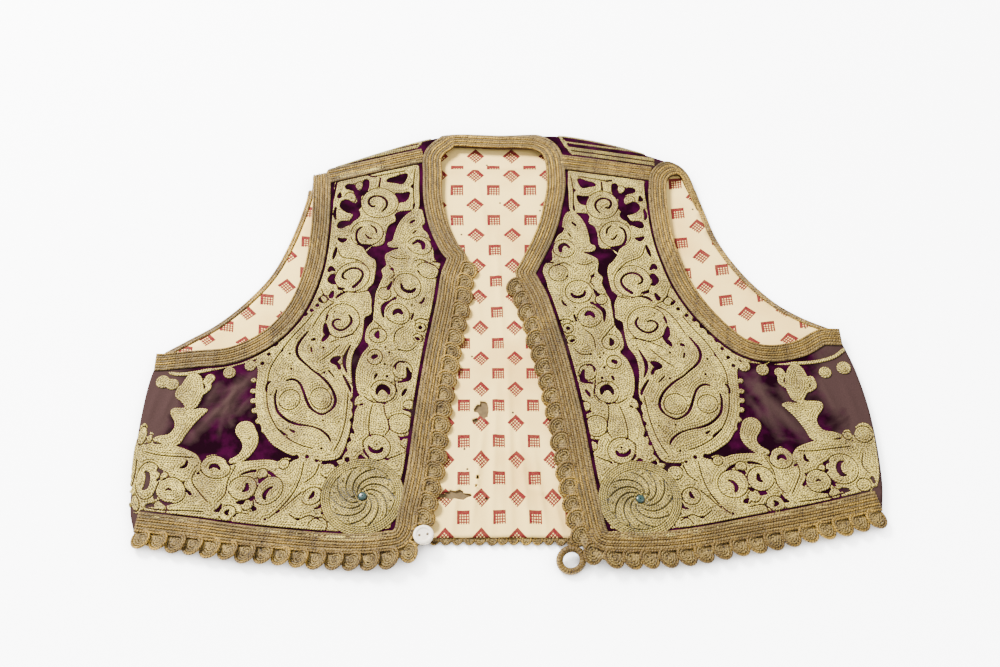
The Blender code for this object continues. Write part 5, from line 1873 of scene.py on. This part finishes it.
@dataclass
class Lining:
    """The printed cotton inside the back, worn through in places."""

    thickness: float = 1.0
    lift: float = 2.3
    inset: float = 3.0
    hem_inset: float = 0.4
    arm_inset: float = 1.8
    repeat: float = 31.0
    ruck_height: float = 1.3
    wave_height: float = 0.45
    seam_height: float = 0.7
    # The y of each row of upright squares in the opening, and one beyond each end.
    print_rows: tuple[float, ...] = (-14, 17.5, 49, 80, 111, 139, 166, 195, 224.5, 255, 285, 316, 347, 378)
    # Columns x and y of the middle, half the width and half the height.
    holes: tuple[tuple[float, float, float, float], ...] = (
        (-14, 107, 5.0, 7.2), (-19, 97, 2.2, 2.4), (-34, 35, 11.0, 3.6), (-17, 49, 1.6, 2.2),
        (-18, 42, 1.2, 1.4), (-10, 32, 1.1, 1.1))
    # Lowest and highest x and y of the part in the opening, which has closer points.
    opening: tuple[float, float, float, float] = (-62, 4, 66, 366)
    # Corners of the older cloth under the holes.
    patch: Table = ((-52, 22), (-2, 22), (-2, 122), (-30, 122), (-52, 70))

    def outline(self) -> np.ndarray:
        """The lining's outline, its top edge part of the way round the fold.

        Returns:
            Its points in order.
        """
        hem, left, left_arm, right_arm, right = (
            offset_line(smooth_curve(table), distance) for table, distance in (
                (BACK_HEM, self.hem_inset), (LEFT_SIDE, self.inset), (BACK_LEFT_ARMHOLE, self.arm_inset),
                (BACK_RIGHT_ARMHOLE, -self.arm_inset), (RIGHT_SIDE, -self.inset)))
        xs = np.arange(156.0, -156.0, -3.0)
        top = np.stack([xs, FORM.fold_start(xs) + FORM.fold_length * 0.62], axis=1)
        spans = [hem[4:-4], left[4:-2], left_arm[2:], top, right_arm[::-1][:-2], right[::-1][2:-4]]
        return np.vstack([resampled(span, 3.0) for span in spans])

    def ragged(self, x: float, y: float, a: float, b: float) -> np.ndarray:
        """The torn outline of a hole.

        Args:
            x: Its middle.
            y: Its middle.
            a: Half its width.
            b: Half its height.

        Returns:
            Its points in order.
        """
        rng = np.random.default_rng(int(abs(x) * 10 + y))
        swing = np.linspace(0, 2 * math.pi, 25)[:-1]
        rough = 1 + rng.uniform(-0.26, 0.26, 24) + 0.12 * np.sin(3 * swing + x)
        return np.stack([x + a * rough * np.cos(swing), y + b * rough * np.sin(swing)], axis=1)

    def waves(self, points: np.ndarray) -> np.ndarray:
        """Soft rucks of the lining, strongest in the opening near the hem.

        Args:
            points: Places on the lining.

        Returns:
            One height for each place.
        """
        x, y = points[:, 0], points[:, 1]
        middle = np.exp(-(x / 34.0) ** 2)
        low = smooth_step((150 - y) / 110)
        rucks = 0.5 * (1 + np.sin(x / 3.3 + y / 60.0 + 0.8 * np.sin(y / 31.0)))
        cross = np.exp(-((y - 338 - 0.03 * x) / 3.0) ** 2)
        slow = 0.5 * (1 + np.sin(x / 15.0 + 1.1) * np.sin(y / 19.0 + x / 37.0))
        open_part = np.exp(-(x / 60.0) ** 6)
        sharp = FORM.creases(x, y, CREASES_LINING)
        return (sharp + middle * low * rucks**1.5 * self.ruck_height
                + self.wave_height * slow * (0.3 + 0.7 * open_part) + cross * self.seam_height)

    def print_map(self, places: np.ndarray) -> np.ndarray:
        """Where the print falls, in repeats: drawn together low down, swung round at the sides.

        Args:
            places: Places on the lining.

        Returns:
            Its map, one row for each place.
        """
        x, y = places[:, 0], places[:, 1]
        arm = smooth_step((np.abs(x) - 105) / 30)
        pitch = np.interp(y, (170, 290), (26.8, self.repeat)) * (1 - arm) + self.repeat * arm
        column = np.interp(y, (0, 170, 300), (0.0, -1.5, -5.4))
        along_cloth = y - arm * (7 + 0.13 * (np.abs(x) - 150))
        rows = np.interp(along_cloth, self.print_rows, np.arange(len(self.print_rows)))
        # A strip was joined on across the top, where the pattern doesn't meet.
        rows = rows + 0.35 * (y > 338)
        return np.stack([(x - column) / pitch + 0.5, rows + 0.5], axis=1)

    def build(self, cotton: Material, inner: Material) -> list[Object]:
        """Makes the lining and the older cloth that shows through its holes.

        Args:
            cotton: Finish of the lining.
            inner: Finish of the cloth under it.

        Returns:
            The two pieces.
        """
        outline = self.outline()
        x0, y0, x1, y1 = self.opening
        dense = grid_points((x0, y0), (x1, y1), 2.0)
        coarse = grid_points(outline.min(axis=0), outline.max(axis=0), 5.0)
        away = (coarse[:, 0] < x0) | (coarse[:, 0] > x1) | (coarse[:, 1] < y0)
        points = well_inside(outline, np.vstack([dense, coarse[away]]), 1.2)
        holes = [self.ragged(*hole) for hole in self.holes]
        for hole in holes:
            points = points[~inside(hole, points)]
        places, faces = filled(outline, points, holes)
        made = Mesh()
        made.add(FORM.lower(places, self.lift + self.waves(places)), faces, self.print_map(places))
        cloth = made.build("lining_print", cotton, Slot.LINING, ["back_lining"])
        thicken(cloth, self.thickness)
        under = Mesh()
        corners = np.array(self.patch, float)
        points = grid_points(corners.min(axis=0), corners.max(axis=0), 3.0)
        rim = resampled(closed_up(corners), 4.0)[:-1]
        places, faces = filled(rim, well_inside(rim, points, 1.5))
        under.add(FORM.lower(places, 1.28 + 0.12 * np.sin(places[:, 0] / 2.1)), faces, places * 0.1)
        old = under.build("interlining", inner, Slot.LINING)
        thicken(old, 0.25)
        return [cloth, old]


@dataclass
class Button:
    """The round button at the right corner, sewn on through two holes."""

    radius: float = 7.5
    thickness: float = 2.6
    dish_radius: float = 5.2
    dish_depth: float = 0.6
    hole_radius: float = 1.0
    hole_offset: float = 3.0
    hole_angle: float = math.radians(9)

    def height(self, reach: np.ndarray) -> np.ndarray:
        """Height of the face over its underside, by distance from the middle.

        Args:
            reach: Distances from the middle.

        Returns:
            One height for each distance.
        """
        round_off = 0.9 * np.clip((reach - (self.radius - 0.9)) / 0.9, 0, 1) ** 2.2
        dish = self.dish_depth * (1 - smooth_step((reach - self.dish_radius + 0.7) / 0.9))
        return self.thickness - round_off - dish

    def build(self, horn: Material, thread: Material) -> list[Object]:
        """Makes the button, and the thread between its holes.

        Args:
            horn: Finish of the button.
            thread: Finish of the thread.

        Returns:
            The two pieces.
        """
        low, high = (Vector(corner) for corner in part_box("button"))
        middle = (low + high) / 2
        base = low.z / MM + 0.2
        way = np.array([math.cos(self.hole_angle), math.sin(self.hole_angle)])
        around = circle(61)[:-1]
        rings = [around * r for r in (7.3, 7.0, 6.6, 6.2, 5.7, 5.4, 5.1, 4.8, 4.5, 4.1)]
        inner = grid_points((-4, -4), (4, 4), 0.5)
        holes = [sign * self.hole_offset * way + around[::4] * self.hole_radius for sign in (-1, 1)]
        near = np.minimum(
            *(np.linalg.norm(inner - sign * self.hole_offset * way, axis=1) for sign in (-1, 1)))
        inner = inner[(np.linalg.norm(inner, axis=1) < 3.9) & (near > self.hole_radius + 0.25)]
        places, faces = filled(around * self.radius, np.vstack([*rings, inner]), holes)
        reach = np.linalg.norm(places, axis=1)
        lean = 0.012 * places[:, 0] - 0.01 * places[:, 1]
        centre = np.array(middle[:2])
        top = np.column_stack([places * MM + centre, (base + self.height(reach) + lean) * MM])
        under = top.copy()
        under[:, 2] = (base + lean + 0.5 * np.clip((reach - 6.6) / 0.9, 0, 1)) * MM
        made = Mesh()
        made.add(top, faces, places)
        made.add(under, faces[:, ::-1], places)
        count, size = len(places), len(around)
        walls = [np.arange(size)]
        start = size
        for hole in holes:
            walls.append(np.arange(start, start + len(hole))[::-1])
            start += len(hole)
        for wall in walls:
            after = np.roll(wall, -1)
            quads = np.stack([wall, wall + count, after + count, after], axis=1)
            made.faces.append(quads[:, ::-1])
        disc = made.build("button_horn", horn, Slot.BUTTON, ["button"])
        sewn = Mesh()
        for number in range(4):
            aside = np.array([-way[1], way[0]]) * (number - 1.5) * 0.32
            t = np.linspace(-1, 1, 15)
            line = centre / MM + way * self.hole_offset * 1.12 * t[:, None] + aside
            line = line + ORIGIN[:2]
            lifts = base - 0.1 + 0.9 * np.abs(t) ** 8
            lay_tube(sewn, line, lifts, 0.24, form=level)
        stitch = sewn.build("button_thread", thread, Slot.BUTTON)
        return [disc, stitch]


def level(xy: np.ndarray, lift: Any) -> np.ndarray:
    """Places at plain heights above the table, for what doesn't follow the cloth."""
    height = np.broadcast_to(np.asarray(lift, float), (len(xy),))
    return (np.column_stack([xy, height]) - ORIGIN) * MM


@dataclass
class Loop:
    """The button loop at the left corner: a ring of cord bound round with thread."""

    place: tuple[float, float] = (52.0, -17.0)
    radius: float = 8.4
    cord: float = 2.7
    height: float = 5.6
    tilt: float = math.radians(14)
    wraps: int = 42

    def build(self, silk: Material) -> Object:
        """Makes the ring, its surface ridged by the turns of thread.

        Args:
            silk: Finish of the thread.

        Returns:
            The piece.
        """
        made = Mesh()
        around = np.linspace(0, 2 * math.pi, self.wraps * 6 + 1)
        ring = np.linspace(0, 2 * math.pi, 13)[:-1]
        turn = Matrix.Rotation(self.tilt, 3, "X")
        rows, maps = [], []
        for angle in around:
            ridge = self.cord - 0.22 + 0.22 * abs(math.sin(angle * self.wraps / 2 + 0.3))
            wobble = 1 + 0.035 * math.sin(2 * angle + 0.6)
            out = Vector((math.cos(angle), math.sin(angle), 0))
            row = []
            for share in ring:
                reach = self.radius * wobble + ridge * math.cos(share)
                spot = turn @ (out * reach + Vector((0, 0, ridge * math.sin(share))))
                row.append((spot.x + self.place[0], spot.y + self.place[1], spot.z + self.height))
            rows.append(row)
            run = angle * self.radius
            maps.append([(run, 0.5 - 0.4 * math.sin(share)) for share in ring])
        grid = (np.array(rows) - ORIGIN) * MM
        made.sheet(grid, np.array(maps), closed=True)
        return made.build("loop_cord", silk, Slot.BRAID, ["button_loop"])


@dataclass
class Waistcoat:
    """The whole waistcoat: its cloth, braids, embroidery and closure."""

    def edge_line(self) -> np.ndarray:
        """The line of the edge braid, from one side seam to the other by way of the neck.

        Returns:
            Its points in order.
        """
        line = smooth_curve(
            [*RIGHT_HEM[:0:-1], (-70, -8.5), (-62.5, 2), *RIGHT_EDGE[-2:0:-1], *RIGHT_NECK[:0:-1],
             (-50, 346), (-41, 355.5), *BACK_NECK[-3:2:-1], (31, 353.5), (38.5, 344), *LEFT_NECK[1:-1],
             *LEFT_EDGE[:-1], (64.5, -1), (73, -10.5), *LEFT_HEM[1:]])
        return resampled(line, 1.0)

    def build(self) -> None:
        velvet = CottonVelvet().material()
        cotton = PrintedCotton().material()
        # Metal strip wound on a silk core: yellow, with many small glints. On the whirls it has dulled, and
        # on the yoke the same duller gold is painted shade.
        gold = GoldCord("gilt_cord", "dac25b", "967f38", "281c08", patch_scale=45.0).material()
        raised = GoldCord("rosette_gilt_cord", "b8a046", "7a6828", "1c1508").material()
        # Twisted piping of the same strip: browner, streaked, and rubbed on the fronts.
        gilt = GoldCord("gilt_piping", "c89f3a", "6f5622", "2c1c08", 2.0, 0.7, 0.8, patch_scale=28.0,
                        rub=0.16, shine=0.3).material()
        # Silk gimp, spun and plaited: matt brown, with its threads seen as streaks.
        gimp = GoldCord("silk_gimp_braid", "8d7236", "5b4a20", "2c1d0a", 2.2, 0.6, 1.2, 0.05, 0.6, 40.0,
                        shine=0.3).material()
        curl = GoldCord("silk_gimp_curl", "9e8343", "685228", "20140a", 2.0, 0.6, 0.6, 0.05, 0.6, 110.0,
                        0.9, shine=0.3).material()
        # Turned and polished horn: pale and a little glossy.
        horn = PlainFinish("pale_horn", "f2e8d6", "e2d2b6", 0.38, 160.0, 500.0, 0.00003).material()
        # Spun cotton: dry and matt.
        thread = PlainFinish("cotton_thread", "c9b48c", "a5906a", 0.8, 400.0, 2500.0).material()
        # Moulded glass: deep green, and glossy under a thin clear skin.
        glass = PlainFinish("green_glass", "1d3c35", "0c221e", 0.3, 200.0, 400.0, 0.00001, 0.3).material()
        # Plain-weave linen: brown, dry and rough, its colour darkened as painted shade where it shows
        # through the lining's holes.
        linen = PlainFinish("linen_interlining", "75603a", "3a2b18", 0.95, 300.0, 1200.0).material()
        back_piece = Back().build_velvet(velvet)
        lining, interlining = Lining().build(cotton, linen)
        trims: dict[str, list[Object]] = {"left": [], "right": [], "back": []}
        for cut in (RIGHT_CUT, LEFT_CUT):
            word, inward = cut.side.word, cut.side.value
            VelvetFront(cut).build(velvet)
            made = Embroidery(cut).build(gold) + Rosette(cut).build(raised, glass)
            armhole, tip = smooth_curve(cut.armhole), ()
            armhole = np.vstack([armhole[:1] + (inward * 4.5, 0.2), armhole[1:]])
            if cut.side is Side.LEFT:
                armhole = shortened(armhole, 0.0, 14.0)
                made += ArmholeTurn().build(gilt, gimp)
            else:
                tip = ((-159.0, float(FORM.fold_start(np.array(-159.0)) + FORM.fold_length / 2)),)
            made += Braid(f"armhole_braid_{word}", (f"armhole_band_{word}",), armhole, inward, 14.6,
                          tip=tip).build(gilt, gimp)
            # The yoke's cords take the duller gold as painted shade, where they lie on the turned-over
            # shoulder.
            made.append(Yoke(cut).build(raised))
            seam = shortened(smooth_curve(cut.shoulder), 12.0, 12.0)
            made += Braid(f"shoulder_braid_{word}", (f"shoulder_band_{word}",),
                          offset_line(seam, -inward * 7.0), inward, 14.0, ribs="sgsgss").build(gilt, gimp)
            way = smooth_curve([*cut.hem[:0:-1], *cut.corner, *cut.edge[-2::-1]])
            made += Coils(f"coils_{word}", (f"front_scallops_{word}", f"hem_scallops_{word}"), way[1:-4],
                          inward).build(gilt, curl)
            trims[word] = made
        trims["back"] += Braid(
            "edge_braid",
            ("front_band_right", "front_band_left", "neck_band_back", "hem_band_right", "hem_band_left"),
            self.edge_line(), 1, 15.6).build(gilt, gimp)
        hem = smooth_curve(BACK_HEM)
        trims["back"] += Coils("back_hem_coils", ("back_hem_scallops",), hem, -1, 4.4, 8.4, 1.3, 1.2, 1.7,
                               0.0, 1.4, FORM.lower).build(gilt, curl)
        for side, table, way in (("right", BACK_RIGHT_ARMHOLE, 1), ("left", BACK_LEFT_ARMHOLE, -1)):
            piping = Mesh()
            for out, height in ((1.5, 0.9), (-0.9, 1.9)):
                line = offset_line(resampled(smooth_curve(table), 1.5), way * out)
                lay_tube(piping, line[1:-1], height, 1.5, 8, form=FORM.lower)
            trims["back"].append(
                piping.build(f"armhole_edging_{side}", gilt, Slot.BRAID, [f"back_armhole_cord_{side}"]))
        Button().build(horn, thread)
        Loop().build(gilt)
        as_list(trims["right"])
        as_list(trims["left"])
        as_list(trims["back"])


def main() -> None:
    """Builds the scene and logs each piece."""
    logging.basicConfig(level=logging.INFO, format="%(message)s")
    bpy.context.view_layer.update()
    Studio().build()
    Waistcoat().build()


if __name__ == "__main__":
    main()
